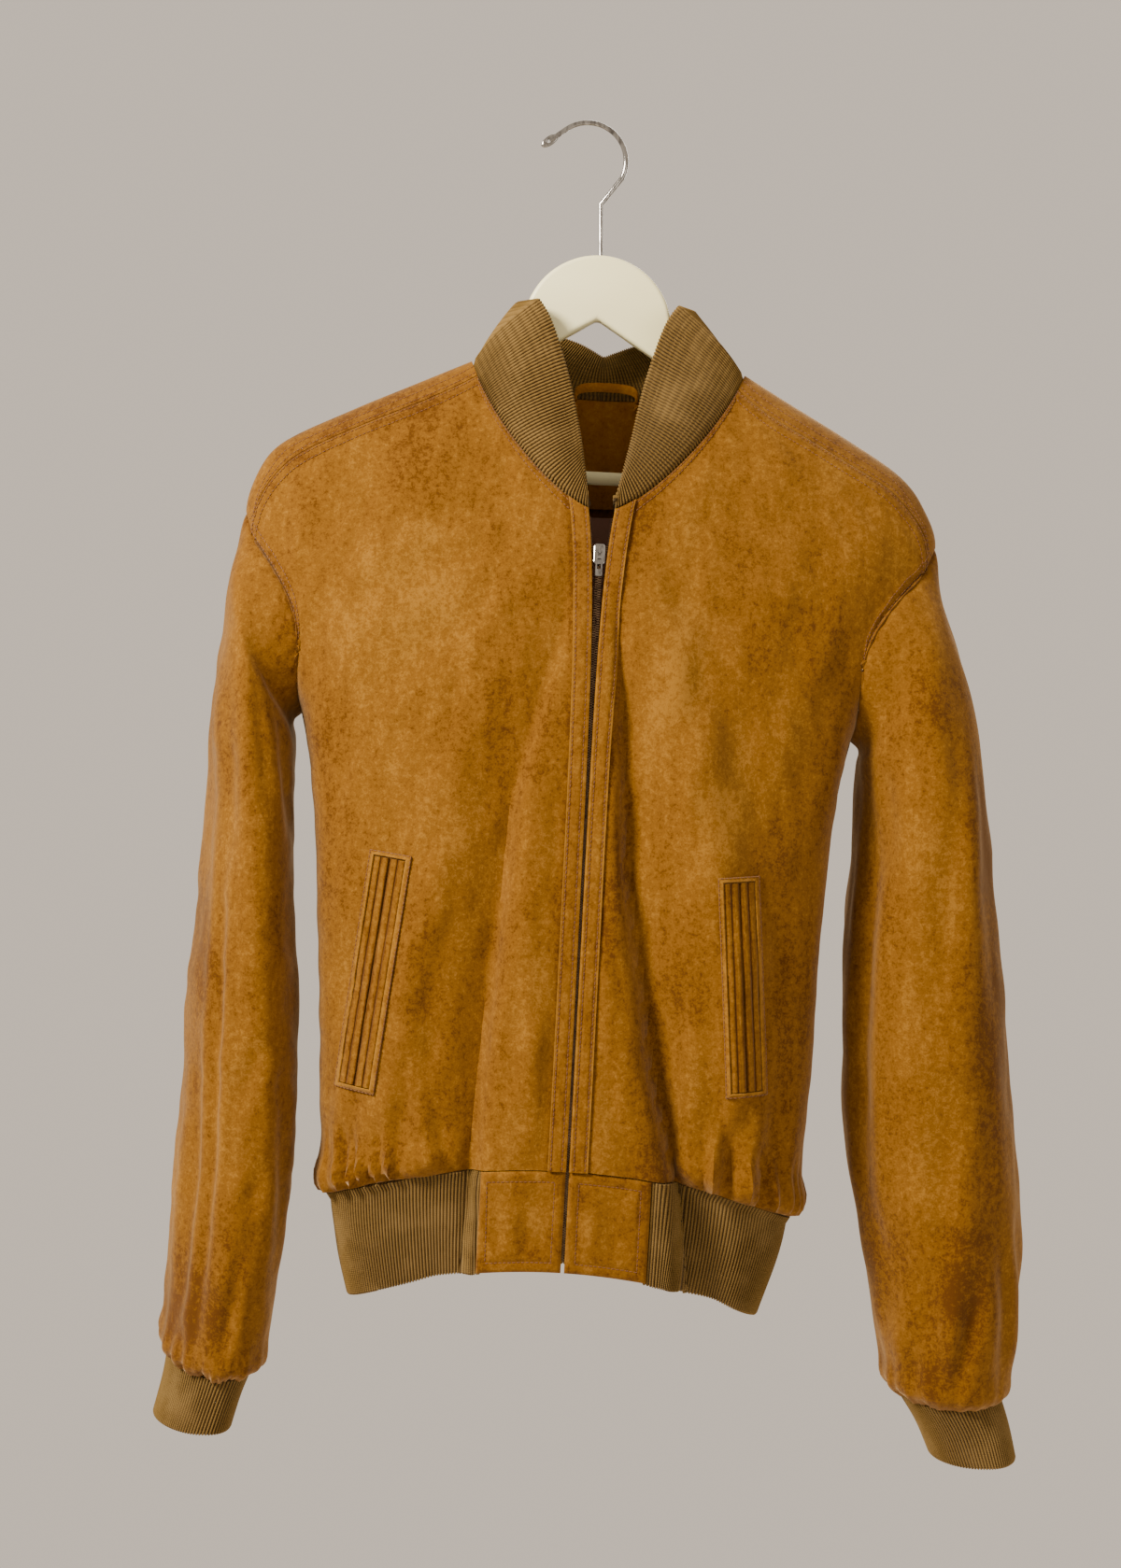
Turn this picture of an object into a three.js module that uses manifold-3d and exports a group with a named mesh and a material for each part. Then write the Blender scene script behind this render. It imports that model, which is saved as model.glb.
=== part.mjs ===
// A suede bomber jacket with rib-knit collar, cuffs and waistband, hanging on a shaped wooden hanger.
// Units are millimetres, +Z is up, +X is to the right of someone facing the zip, and -Y is towards them.
// The origin is the inside top of the hanger's hook, where a rail carries it.
//
// The hanger has slipped a little out of level, so the hanger and the jacket on it are modelled square,
// in a frame whose origin is the socket on top of the hanger's crown, and one group turns them together.
// Cloth is a wall: a grid of points on its outer face, and the same grid moved in by its thickness.
// Grids run down in rows, and their columns run anticlockwise as seen from above.
import * as THREE from "three";
import Module from "manifold-3d";
import { mergeVertices } from "three/addons/utils/BufferGeometryUtils.js";

const wasm = await Module();
wasm.setup();

// ---- driving dimensions ----
const HANG = { tilt: 3, socketX: 7.5, socketZ: -94 };
const SUEDE = 1.6; // the shell's thickness
const RIB = 2.6; // doubled rib knit
const SEAM = 0.3; // each piece stops this far short of its seam line
const CLEAR = 0.5; // between pieces that lie on each other

// Level sections of the body, square to the zip. half: half width. front, back: depth from the hanger's
// plane. square: 2 is an ellipse, more is boxier. tuck: how far the side seam folds in between the panels.
const BODY = [
  { z: -80, half: 98, front: 22, back: 36, square: 2.3, middle: 9.5, tuck: 0 },
  { z: -100, half: 137, front: 30, back: 41, square: 2.3, middle: 6, tuck: 0 },
  { z: -120, half: 176, front: 37, back: 46, square: 2.3, middle: 3, tuck: 0 },
  { z: -145, half: 220, front: 45, back: 50, square: 2.2, middle: 0, tuck: 0 },
  { z: -165, half: 237, front: 51, back: 53, square: 2.2, middle: 1, tuck: 0 },
  { z: -196, half: 247, front: 58, back: 56, square: 2.2, middle: 3, tuck: 0 },
  { z: -240, half: 236, front: 68, back: 62, square: 2.4, middle: 1, tuck: 0 },
  { z: -290, half: 214, front: 76, back: 66, square: 2.6, middle: 0, tuck: 0 },
  { z: -335, half: 199, front: 81, back: 68, square: 2.7, middle: 0, tuck: 3 },
  { z: -400, half: 191, front: 86, back: 70, square: 2.8, middle: 1, tuck: 7 },
  { z: -480, half: 186, front: 90, back: 70, square: 2.8, middle: 2, tuck: 9 },
  { z: -560, half: 182, front: 92, back: 68, square: 2.8, middle: 4, tuck: 8 },
  { z: -630, half: 177, front: 91, back: 64, square: 2.7, middle: 5, tuck: 6 },
  { z: -690, half: 170, front: 86, back: 58, square: 2.6, middle: 5, tuck: 2 },
  { z: -750, half: 152, front: 80, back: 52, square: 2.6, middle: 4, tuck: 0 },
];

// The largest folds: each runs straight from its top to its foot and pushes the cloth out (+) or in (-).
// width is across the fold, and rise grows from topRise at the top to footRise at the foot.
const FOLDS = [
  { face: "front", topX: -8, topZ: -235, footX: -44, footZ: -400, width: 15, topRise: 0, footRise: -9 },
  { face: "front", topX: -44, topZ: -400, footX: -62, footZ: -735, width: 15, topRise: -9, footRise: -16 },
  { face: "front", topX: 22, topZ: -235, footX: 40, footZ: -440, width: 13, topRise: 0, footRise: -12 },
  { face: "front", topX: 40, topZ: -440, footX: 90, footZ: -660, width: 16, topRise: -12, footRise: -22 },
  { face: "front", topX: 90, topZ: -660, footX: 97, footZ: -745, width: 17, topRise: -22, footRise: -18 },
  { face: "front", topX: 36, topZ: -215, footX: 104, footZ: -430, width: 24, topRise: 0, footRise: 11 },
  { face: "front", topX: 104, topZ: -430, footX: 122, footZ: -640, width: 24, topRise: 11, footRise: 5 },
  { face: "front", topX: -34, topZ: -260, footX: -96, footZ: -450, width: 26, topRise: 0, footRise: 7 },
  { face: "front", topX: -96, topZ: -450, footX: -104, footZ: -640, width: 26, topRise: 7, footRise: 3 },
  { face: "back", topX: -60, topZ: -250, footX: -84, footZ: -690, width: 26, topRise: 0, footRise: -10 },
  { face: "back", topX: 4, topZ: -180, footX: 6, footZ: -690, width: 34, topRise: 0, footRise: 8 },
  { face: "back", topX: 72, topZ: -260, footX: 96, footZ: -690, width: 24, topRise: 0, footRise: -9 },
];

// The neck: its half width and height at the shoulder ridge, the front's drop, and the back's.
const NECK = { half: 97, ridgeZ: -80, frontDrop: 107, backZ: -96, frontHalf: 9.1, bow: 1.3, middle: 9.5 };
const SHOULDER_SEAM = { neckStep: 0.84, neckDrop: 17, endDrop: 15 }; // the seam lies forward of the ridge
const ARMHOLE_STEPS = 9;
const ARMHOLE = { topZ: -196, pitZ: -335, frontTurn: 26, backTurn: 22 };
const HEM = { centreZ: -642, sideZ: -676, backZ: -660, ribHeight: 70, ribPull: 0.045 };
const ZIP = { x: 9.5, restGap: 0.9, topGap: 8.2, fade: 55, behind: 2.6, teethHalf: 2.1, tape: 11, thick: 1 };
const COLLAR_LIFT = 0.9; // how far the knit starts above the neck seam
const PLACKET = { width: 13, thick: 1.2 };
const TAB = { left: 60, right: 58, thick: 2.0 };

// Level sections of the two sleeves. x is the distance out from the hanger's middle. half and deep are
// the half width and half depth before the section is turned; rise lifts its outer side and pitch its back.
const SLEEVES = {
  left: [
    { z: -290, x: 227, y: 0, half: 24, deep: 48, turn: 0, rise: 55, pitch: 0 },
    { z: -312, x: 229, y: 0, half: 27, deep: 56, turn: 3, rise: 43, pitch: 0 },
    { z: -346, x: 231, y: 0, half: 30, deep: 62, turn: 8, rise: 25, pitch: 0 },
    { z: -400, x: 230, y: 1, half: 30, deep: 68, turn: 12, rise: 10, pitch: 0 },
    { z: -450, x: 230, y: 2, half: 33, deep: 71, turn: 14, rise: 3, pitch: 0 },
    { z: -500, x: 230, y: 3, half: 35, deep: 73, turn: 16, rise: 0, pitch: 0 },
    { z: -560, x: 229, y: 4, half: 38, deep: 74, turn: 17, rise: -1, pitch: 0 },
    { z: -620, x: 228, y: 4, half: 40, deep: 74, turn: 18, rise: -2, pitch: 0 },
    { z: -680, x: 230, y: 4, half: 39, deep: 72, turn: 20, rise: -2, pitch: 2 },
    { z: -730, x: 233, y: 4, half: 37, deep: 68, turn: 21, rise: -2, pitch: 5 },
    { z: -768, x: 236, y: 5, half: 36, deep: 63, turn: 23, rise: -2, pitch: 8 },
    { z: -790, x: 238, y: 5, half: 33, deep: 58, turn: 24, rise: -2, pitch: 10 },
    { z: -799, x: 239, y: 5, half: 27, deep: 50, turn: 25, rise: -2, pitch: 9 },
  ],
  right: [
    { z: -290, x: 230, y: 0, half: 27, deep: 48, turn: 0, rise: 55, pitch: 0 },
    { z: -312, x: 236, y: 0, half: 33, deep: 55, turn: -5, rise: 43, pitch: 0 },
    { z: -346, x: 243, y: 0, half: 39, deep: 60, turn: -11, rise: 25, pitch: 0 },
    { z: -400, x: 249, y: 1, half: 44, deep: 65, turn: -16, rise: 12, pitch: 0 },
    { z: -450, x: 252, y: 2, half: 49, deep: 67, turn: -18, rise: 6, pitch: 0 },
    { z: -500, x: 256, y: 3, half: 53, deep: 68, turn: -20, rise: 4, pitch: 0 },
    { z: -560, x: 262, y: 4, half: 57, deep: 67, turn: -20, rise: 3, pitch: 0 },
    { z: -620, x: 269, y: 4, half: 59, deep: 65, turn: -20, rise: 2, pitch: 0 },
    { z: -680, x: 278, y: 4, half: 56, deep: 62, turn: -20, rise: 2, pitch: 1 },
    { z: -730, x: 284, y: 4, half: 52, deep: 58, turn: -20, rise: 2, pitch: 3 },
    { z: -768, x: 287, y: 4, half: 47, deep: 53, turn: -18, rise: 2, pitch: 5 },
    { z: -789, x: 289, y: 4, half: 42, deep: 48, turn: -16, rise: 2, pitch: 6 },
    { z: -798, x: 291, y: 4, half: 36, deep: 41, turn: -14, rise: 2, pitch: 5 },
  ],
};
const CUFFS = {
  left: [
    { z: -799.6, x: 239, y: 5, half: 27, deep: 50, turn: 25, rise: -2, pitch: 9 },
    { z: -822, x: 244, y: 5, half: 25, deep: 48, turn: 25, rise: -1, pitch: 4 },
    { z: -848, x: 250, y: 5, half: 25, deep: 47, turn: 25, rise: 0, pitch: 0 },
  ],
  right: [
    { z: -798.6, x: 291, y: 4, half: 36, deep: 41, turn: -14, rise: 2, pitch: 5 },
    { z: -820, x: 302, y: 4, half: 32, deep: 40, turn: -12, rise: 2, pitch: 2 },
    { z: -844, x: 311, y: 4, half: 29, deep: 40, turn: -10, rise: 2, pitch: 0 },
  ],
};

// The collar's free edge, from the zip (along 0) past the shoulder ridge (1) to the centre back (2).
const COLLAR = [
  { along: 0, left: 0, right: 19, y: -57, z: -178 },
  { along: 0.2, left: -5, right: 23, y: -55, z: -160 },
  { along: 0.42, left: -10, right: 29, y: -51, z: -134 },
  { along: 0.66, left: -20, right: 38, y: -41, z: -91 },
  { along: 0.84, left: -35, right: 50, y: -26, z: -50 },
  { along: 1, left: -50, right: 64, y: -12, z: -31 },
  { along: 1.12, left: -60, right: 70, y: 6, z: -38 },
  { along: 1.25, left: -55, right: 64, y: 22, z: -43 },
  { along: 1.5, left: -33, right: 44, y: 38, z: -51 },
  { along: 1.75, left: -12, right: 26, y: 45, z: -57 },
  { along: 2, left: 6, right: 6, y: 47, z: -66 },
];

const NECK_SHARE = { front: 0.5, back: 0.42 }; // of a panel's top edge, the rest is shoulder
const COLLAR_BOW = { turn: 70, rise: 5, tall: 50 }; // a collar this tall bows out this far

const POCKETS = [
  { side: "left", topX: -123, topZ: -436, footX: -140, footZ: -593 },
  { side: "right", topX: 116, topZ: -440, footX: 129, footZ: -582 },
];
const WELT = { lips: 11, slot: 0.8, rise: 1.6, lift: 0.95 }; // two lips either side of a closed slot

// The hanger, the zip's hardware and the loop behind the neck.
const HANGER = { crown: 53, domeFrom: 78, apexZ: -46, thick: 13, bevel: 3.5, room: 5 };
const HANGER_RIDGE = [-138, -128, -114, -100, -91]; // heights at which an arm's top follows the ridge
// Between the end of the ridge and the dome, the top of an arm swings up.
const ARM_SWING = [
  { x: 88, z: -89.5 },
  { x: 72, z: -76 },
  { x: 60, z: -65 },
  { x: 54.5, z: -55 },
];
// The underside of one arm, from the crown's notch out to the rounded end that carries the bar.
const ARM_UNDERSIDE = [
  { x: 218, z: -156 },
  { x: 214, z: -167 },
  { x: 205, z: -173 },
  { x: 195, z: -171 },
  { x: 187, z: -160 },
  { x: 172, z: -148 },
  { x: 130, z: -124 },
  { x: 88, z: -100 },
  { x: 50, z: -77 },
];
const BAR = { z: -159, radius: 4.8, half: 198 };
const HOOK = { wire: 1.8, bow: 27.5, middleX: -2, leftEnd: 123, rightEnd: -27, sunk: 20 };
const BORE = { radius: 2.2, over: 5, footRoom: 2 }; // the socket in the crown, a little deeper than the hook
const HOOK_STEM = { kinkX: 7.5, kinkZ: -56.8, tipX: -29, tipZ: -11 };
const HOOK_END = { length: 7, radius: 2.9, flat: 0.62 };
const SLIDER = { half: 4, length: 15, thick: 2.7, z: -219, proud: 0.6 };
const BRIDGE = { half: 0.8, top: 3, foot: -1.7, under: 1, thick: 0.8 }; // measured from the pull's pin
const PULL = { half: 2.4, length: 18, thick: 1.1, pin: 0.5, eye: 4, leg: 1.1, window: 8, pinZ: 1.5 };
const PULL_GAP = 0.35; // between the pull's pin and the slider's bridge
const LOOP = { half: 22, topZ: -86, wide: 6, thick: 1.4, stand: 3.2 };

const COLOURS = {
  suede: { color: 0x9f661d, roughness: 0.95, metalness: 0 },
  inside: { color: 0x7a4508, roughness: 0.95, metalness: 0 },
  lining: { color: 0x8a6a5c, roughness: 0.6, metalness: 0 },
  rib: { color: 0x7f551a, roughness: 0.95, metalness: 0 },
  painted: { color: 0xfcf4cd, roughness: 0.4, metalness: 0 },
  chrome: { color: 0xc8c4bc, roughness: 0.15, metalness: 1 },
  tape: { color: 0x4a2d1a, roughness: 0.9, metalness: 0 },
  teeth: { color: 0x4a3420, roughness: 0.4, metalness: 1 },
};

// ---- small helpers ----
const radians = THREE.MathUtils.degToRad;
const degrees = THREE.MathUtils.radToDeg;
const lerp = THREE.MathUtils.lerp;
const clamp = THREE.MathUtils.clamp;
const smooth = (value, low, high) =>
  THREE.MathUtils.smoothstep(value, Math.min(low, high), Math.max(low, high));
const steps = (count) => Array.from({ length: count + 1 }, (_, i) => i / count);

// A smooth value from one column of a table whose rows are in order of another column.
function columnAt(table, column, at, order = "z") {
  const last = table.length - 1;
  const up = table[last][order] > table[0][order] ? 1 : -1;
  const place = clamp(at * up, table[0][order] * up, table[last][order] * up);
  let i = 0;
  while (i < last - 1 && table[i + 1][order] * up < place) i += 1;
  const slopeAt = (k) => {
    const a = table[Math.max(k - 1, 0)];
    const b = table[Math.min(k + 1, last)];
    return (b[column] - a[column]) / (b[order] - a[order]);
  };
  const [low, high] = [table[i], table[i + 1]];
  const span = high[order] - low[order];
  const t = (place * up - low[order]) / span;
  const rest = 1 - t;
  return (
    low[column] * (1 + 2 * t) * rest * rest +
    high[column] * (3 - 2 * t) * t * t +
    span * (slopeAt(i) * t * rest * rest - slopeAt(i + 1) * t * t * rest)
  );
}

function materialOf(name) {
  return new THREE.MeshStandardMaterial(COLOURS[name]);
}

function meshOf(name, geometry, material) {
  const mesh = new THREE.Mesh(geometry, materialOf(material));
  mesh.name = name;
  return mesh;
}

// ---- cloth walls ----
const keyOf = (p) => `${p.x.toFixed(3)} ${p.y.toFixed(3)} ${p.z.toFixed(3)}`;

// The triangles of a grid of points, each square split along its shorter diagonal.
function gridTriangles(grid, closed) {
  const triangles = [];
  const across = grid[0].length;
  for (let r = 0; r + 1 < grid.length; r += 1) {
    for (let c = 0; c < (closed ? across : across - 1); c += 1) {
      const d = (c + 1) % across;
      const [a, b, e, f] = [grid[r][c], grid[r][d], grid[r + 1][c], grid[r + 1][d]];
      if (a.distanceTo(f) < b.distanceTo(e)) triangles.push([a, e, f], [a, f, b]);
      else triangles.push([a, e, b], [b, e, f]);
    }
  }
  return triangles;
}

// A closed wall: the outer triangles, the same moved in by the thickness, and a strip along each free edge.
function wall(triangles, thickness, keep = (point) => point) {
  const points = new Map();
  const faces = [];
  for (const triangle of triangles) {
    const keys = triangle.map(keyOf);
    if (new Set(keys).size < 3) continue;
    const [a, b, c] = triangle;
    const facing = new THREE.Vector3().subVectors(b, a).cross(new THREE.Vector3().subVectors(c, a));
    keys.forEach((key, i) => {
      if (!points.has(key)) points.set(key, { outer: triangle[i], normal: new THREE.Vector3() });
      points.get(key).normal.add(facing);
    });
    faces.push(keys);
  }
  const index = new Map([...points.keys()].map((key, i) => [key, i]));
  const outer = [...points.values()].map((p) => p.outer);
  const inner = [...points.values()].map((p) =>
    keep(p.outer.clone().addScaledVector(p.normal.normalize(), -thickness)),
  );
  const count = outer.length;
  const corners = [];
  const edges = new Map();
  for (const keys of faces) {
    const [a, b, c] = keys.map((key) => index.get(key));
    corners.push(a, b, c, a + count, c + count, b + count);
    for (const [p, q] of [[a, b], [b, c], [c, a]]) edges.set(`${p} ${q}`, [p, q]);
  }
  for (const [p, q] of edges.values()) {
    if (!edges.has(`${q} ${p}`)) corners.push(q, p, p + count, q, p + count, q + count);
  }
  const geometry = new THREE.BufferGeometry().setFromPoints([...outer, ...inner]);
  geometry.setIndex(corners);
  return geometry;
}

// A piece of cloth from a grid, and from any more grids that share an edge with it.
function cloth(name, grid, thickness, material, { closed = false, keep, also = [] } = {}) {
  const triangles = [grid, ...also].flatMap((part) => gridTriangles(part, closed));
  return meshOf(name, wall(triangles, thickness, keep), material);
}

// A grid whose first and last rows, and columns where asked, stop short of their seam lines.
function trimmed(grid, { ends = SEAM, sides = SEAM } = {}) {
  const pull = (point, towards, distance) => {
    const far = towards.find((p) => p.distanceTo(point) > 0.5);
    return point.clone().lerp(far, distance / point.distanceTo(far));
  };
  const rows = grid.map((row) => row.map((p) => p.clone()));
  if (sides) {
    grid.forEach((row, r) => {
      rows[r][0] = pull(row[0], row, sides);
      rows[r][row.length - 1] = pull(row.at(-1), [...row].reverse(), sides);
    });
  }
  if (ends) {
    const upwards = [...rows].reverse();
    rows[0].forEach((p, c) => {
      const same = rows.filter((row) => row[c].distanceTo(p) < 0.001);
      const moved = pull(p, rows.map((row) => row[c]), ends);
      same.forEach((row) => row[c].copy(moved));
    });
    rows.at(-1).forEach((p, c) => p.copy(pull(p, upwards.map((row) => row[c]), ends)));
  }
  return rows;
}

// A grid moved along its own normals: out if the distance is positive.
function moved(grid, distance, closed = false) {
  const normals = new Map();
  for (const [a, b, c] of gridTriangles(grid, closed)) {
    const facing = new THREE.Vector3().subVectors(b, a).cross(new THREE.Vector3().subVectors(c, a));
    for (const p of [a, b, c]) {
      normals.set(keyOf(p), (normals.get(keyOf(p)) ?? new THREE.Vector3()).add(facing));
    }
  }
  const pushed = (p) => p.clone().addScaledVector(normals.get(keyOf(p)).clone().normalize(), distance);
  return grid.map((row) => row.map(pushed));
}

// ---- the body's form ----
const hemZ = (angle) =>
  lerp(Math.abs(angle) < 90 ? HEM.centreZ : HEM.backZ, HEM.sideZ, Math.sin(radians(angle)) ** 2);

// How far the folds push a place on the front or the back out of its section.
function foldRise(face, x, z) {
  let rise = 0;
  for (const fold of FOLDS) {
    if (fold.face !== face || z > fold.topZ || z <= fold.footZ) continue;
    const down = (fold.topZ - z) / (fold.topZ - fold.footZ);
    const away = (x - lerp(fold.topX, fold.footX, down)) / fold.width;
    rise += lerp(fold.topRise, fold.footRise, down) * Math.exp(-away * away);
  }
  return rise;
}

// A point of the body. angle is 0 at the centre front, 90 at the right side and 180 at the centre back.
function bodyPoint(angle, z) {
  const at = (column) => columnAt(BODY, column, z);
  const turn = THREE.MathUtils.euclideanModulo(angle + 180, 360) - 180;
  const front = Math.abs(turn) < 90;
  const ratio = Math.sin(radians(turn));
  const square = at("square");
  const share = Math.max(0, 1 - Math.abs(ratio) ** square) ** (1 / square);
  const fromSide = (Math.abs(turn) - 90) / 16;
  const tuck = at("tuck") * Math.exp(-fromSide * fromSide);
  const onRib = smooth(Math.abs(turn), 24, 40) * smooth(hemZ(turn) + 5 - z, 0, 9);
  const narrow = 1 - HEM.ribPull * onRib;
  const x = at("middle") + (at("half") * narrow - tuck) * ratio;
  const depth = front ? -at("front") : at("back");
  const rise = foldRise(front ? "front" : "back", x, z) * share;
  return new THREE.Vector3(x, depth * narrow * share + (front ? -rise : rise), z);
}

// The angle at which the body reaches a distance across, on its front.
function frontAngle(x, z) {
  const ratio = (x - columnAt(BODY, "middle", z)) / columnAt(BODY, "half", z);
  return degrees(Math.asin(clamp(ratio, -1, 1)));
}

// The height of the shoulder ridge at a half width, found by halving.
function ridgeZ(half) {
  let [high, low] = [BODY[0].z, ARMHOLE.topZ];
  for (let i = 0; i < 40; i += 1) {
    const middle = (high + low) / 2;
    if (columnAt(BODY, "half", middle) < half) high = middle;
    else low = middle;
  }
  return (high + low) / 2;
}

// The neck seam on one side, from the centre front (0) over the ridge (1) to the centre back (2).
function neckPlace(side, along) {
  const turn = radians(90 * Math.min(along, 1));
  if (along <= 1) {
    const half = lerp(NECK.frontHalf, NECK.half, Math.sin(turn) ** (2 / NECK.bow));
    const z = NECK.ridgeZ - NECK.frontDrop * Math.cos(turn) ** (2 / NECK.bow);
    return { angle: frontAngle(NECK.middle + side * (along < 1 ? half : 2 * half), z), z };
  }
  const back = along - 1;
  const z = lerp(NECK.ridgeZ, NECK.backZ, Math.sin(radians(90 * back)) ** 1.2);
  const half = NECK.half * Math.cos(radians(90 * back)) ** 0.9;
  return { angle: side * (180 - degrees(Math.asin(clamp(half / columnAt(BODY, "half", z), 0, 1)))), z };
}

// The shoulder seam, a little forward of the ridge, from the neck (0) to the armhole (1).
function shoulderSeam(side, along) {
  const start = neckPlace(side, SHOULDER_SEAM.neckStep);
  const end = armholePlace(side, "front", 1 / ARMHOLE_STEPS);
  const half = lerp(NECK.half, columnAt(BODY, "half", ARMHOLE.topZ), along);
  const z = ridgeZ(half) - lerp(SHOULDER_SEAM.neckDrop, SHOULDER_SEAM.endDrop, along);
  const inset = lerp(7, 6, along);
  const angle = degrees(Math.asin(clamp((half - inset) / columnAt(BODY, "half", z), 0, 1)));
  const nearStart = 1 - smooth(along, 0, 0.25);
  const nearEnd = smooth(along, 0.8, 1);
  return {
    angle: side * lerp(lerp(angle, Math.abs(start.angle), nearStart), Math.abs(end.angle), nearEnd),
    z: lerp(lerp(z, start.z, nearStart), end.z, nearEnd),
  };
}

// The armhole on one face of the body, from its top (0) to the pit (1), straight between its steps.
function armholePlace(side, face, along) {
  const turn = face === "front" ? -ARMHOLE.frontTurn : ARMHOLE.backTurn;
  const curve = (step) => Math.max(0, Math.sin((Math.PI * step) / ARMHOLE_STEPS)) ** 0.75;
  const step = Math.min(Math.floor(along * ARMHOLE_STEPS + 1e-6), ARMHOLE_STEPS - 1);
  const away = turn * lerp(curve(step), curve(step + 1), along * ARMHOLE_STEPS - step);
  return { angle: side * (90 + away), z: lerp(ARMHOLE.topZ, ARMHOLE.pitZ, along) };
}

// A patch of one face of the body between four edges, each a function from 0 to 1 that gives a place.
// It is mixed by the distance across and the height, so that its columns run straight down.
function patch(face, edges, across, down) {
  const flat = ({ angle, z }) => {
    const x = columnAt(BODY, "middle", z) + columnAt(BODY, "half", z) * Math.sin(radians(angle));
    return new THREE.Vector2(x, z);
  };
  const [top, foot, start, end] = edges.map((edge) => (t) => flat(edge(t)));
  return down.map((v) =>
    across.map((u) => {
      const place = top(u).lerp(foot(u), v);
      place.addScaledVector(start(v).sub(top(0).lerp(foot(0), v)), 1 - u);
      place.addScaledVector(end(v).sub(top(1).lerp(foot(1), v)), u);
      const angle = frontAngle(place.x, place.y);
      return { angle: face === "front" ? angle : 180 - angle, z: place.y };
    }),
  );
}

const pointsOf = (places) => places.map((row) => row.map((p) => bodyPoint(p.angle, p.z)));

const ARM_SHARE = 0.3; // of a panel's rows, those beside the armhole

// The side of a panel: down the armhole from a start on it, then down the side seam to the hem.
function panelSide(side, face, from) {
  return (v) => {
    if (v < ARM_SHARE) return armholePlace(side, face, lerp(from, 1, v / ARM_SHARE));
    return { angle: side * 90, z: lerp(ARMHOLE.pitZ, HEM.sideZ, (v - ARM_SHARE) / (1 - ARM_SHARE)) };
  };
}

// Rows down a panel: one at each step of the armhole, then evenly to the hem.
const panelRows = (armholeSteps) => [
  ...steps(armholeSteps).map((t) => t * ARM_SHARE),
  ...steps(13).slice(1).map((t) => lerp(ARM_SHARE, 1, t)),
];
const FRONT_ROWS = panelRows(ARMHOLE_STEPS - 1);
const BACK_ROWS = [0, 0.005, 0.014, ...panelRows(ARMHOLE_STEPS).slice(1)];
const OVER_RIDGE = [0, 0.5, 0.85]; // rows from the shoulder seam back to the ridge
const SHOULDER_STEPS = 6;
const PLACKET_AT = 0.2; // where the placket's edge meets the neck seam
const FRONT_NECK = steps(5).map((t) => lerp(PLACKET_AT, SHOULDER_SEAM.neckStep, t));
const BACK_NECK = [2, 1.75, 1.5, 1.25, 1.08, 1];
const zipGap = (z) => ZIP.restGap + ZIP.topGap * Math.exp((z - NECK.ridgeZ + NECK.frontDrop) / ZIP.fade);

// The front panel of one side, as rows of angle and height from the zip to the armhole or side seam.
function frontPlaces(side) {
  const frontZ = (v) => lerp(NECK.ridgeZ - NECK.frontDrop, HEM.centreZ, v);
  const besideZip = (gap, z) => ({ angle: frontAngle(ZIP.x + side * (zipGap(z) + gap), z), z });
  const neckEnd = NECK_SHARE.front;
  const top = (u) =>
    u < neckEnd
      ? neckPlace(side, lerp(PLACKET_AT, SHOULDER_SEAM.neckStep, u / neckEnd))
      : shoulderSeam(side, (u - neckEnd) / (1 - neckEnd));
  const corner = besideZip(PLACKET.width, frontZ(0));
  const start = (v) => {
    const settle = (1 - v) ** 3;
    const line = besideZip(PLACKET.width, frontZ(v) + (top(0).z - corner.z) * settle);
    const short = top(0).angle - besideZip(PLACKET.width, top(0).z).angle;
    return { angle: line.angle + short * settle, z: line.z };
  };
  const footStart = start(1).angle;
  const foot = (u) => {
    const angle = lerp(footStart, side * 90, u);
    return { angle, z: hemZ(angle) };
  };
  const across = [
    ...FRONT_NECK.map((_, i) => (i / (FRONT_NECK.length - 1)) * neckEnd),
    ...steps(SHOULDER_STEPS).slice(1).map((t) => neckEnd + t * (1 - neckEnd)),
  ];
  const end = panelSide(side, "front", 1 / ARMHOLE_STEPS);
  const rows = patch("front", [top, foot, start, end], across, FRONT_ROWS);
  return rows.map((row, r) => [besideZip(0, frontZ(FRONT_ROWS[r])), ...row]);
}

// The side seams lie in the hanger's plane, and each panel's inner face stops short of it too.
const shortOfSideSeam = (away) => (point) => {
  if (point.z < ARMHOLE.pitZ + 80) point.y = away * Math.max(away * point.y, SEAM);
  return point;
};

function frontGrid(side) {
  const grid = pointsOf(frontPlaces(side));
  return side > 0 ? grid : grid.map((row) => row.reverse());
}

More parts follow.
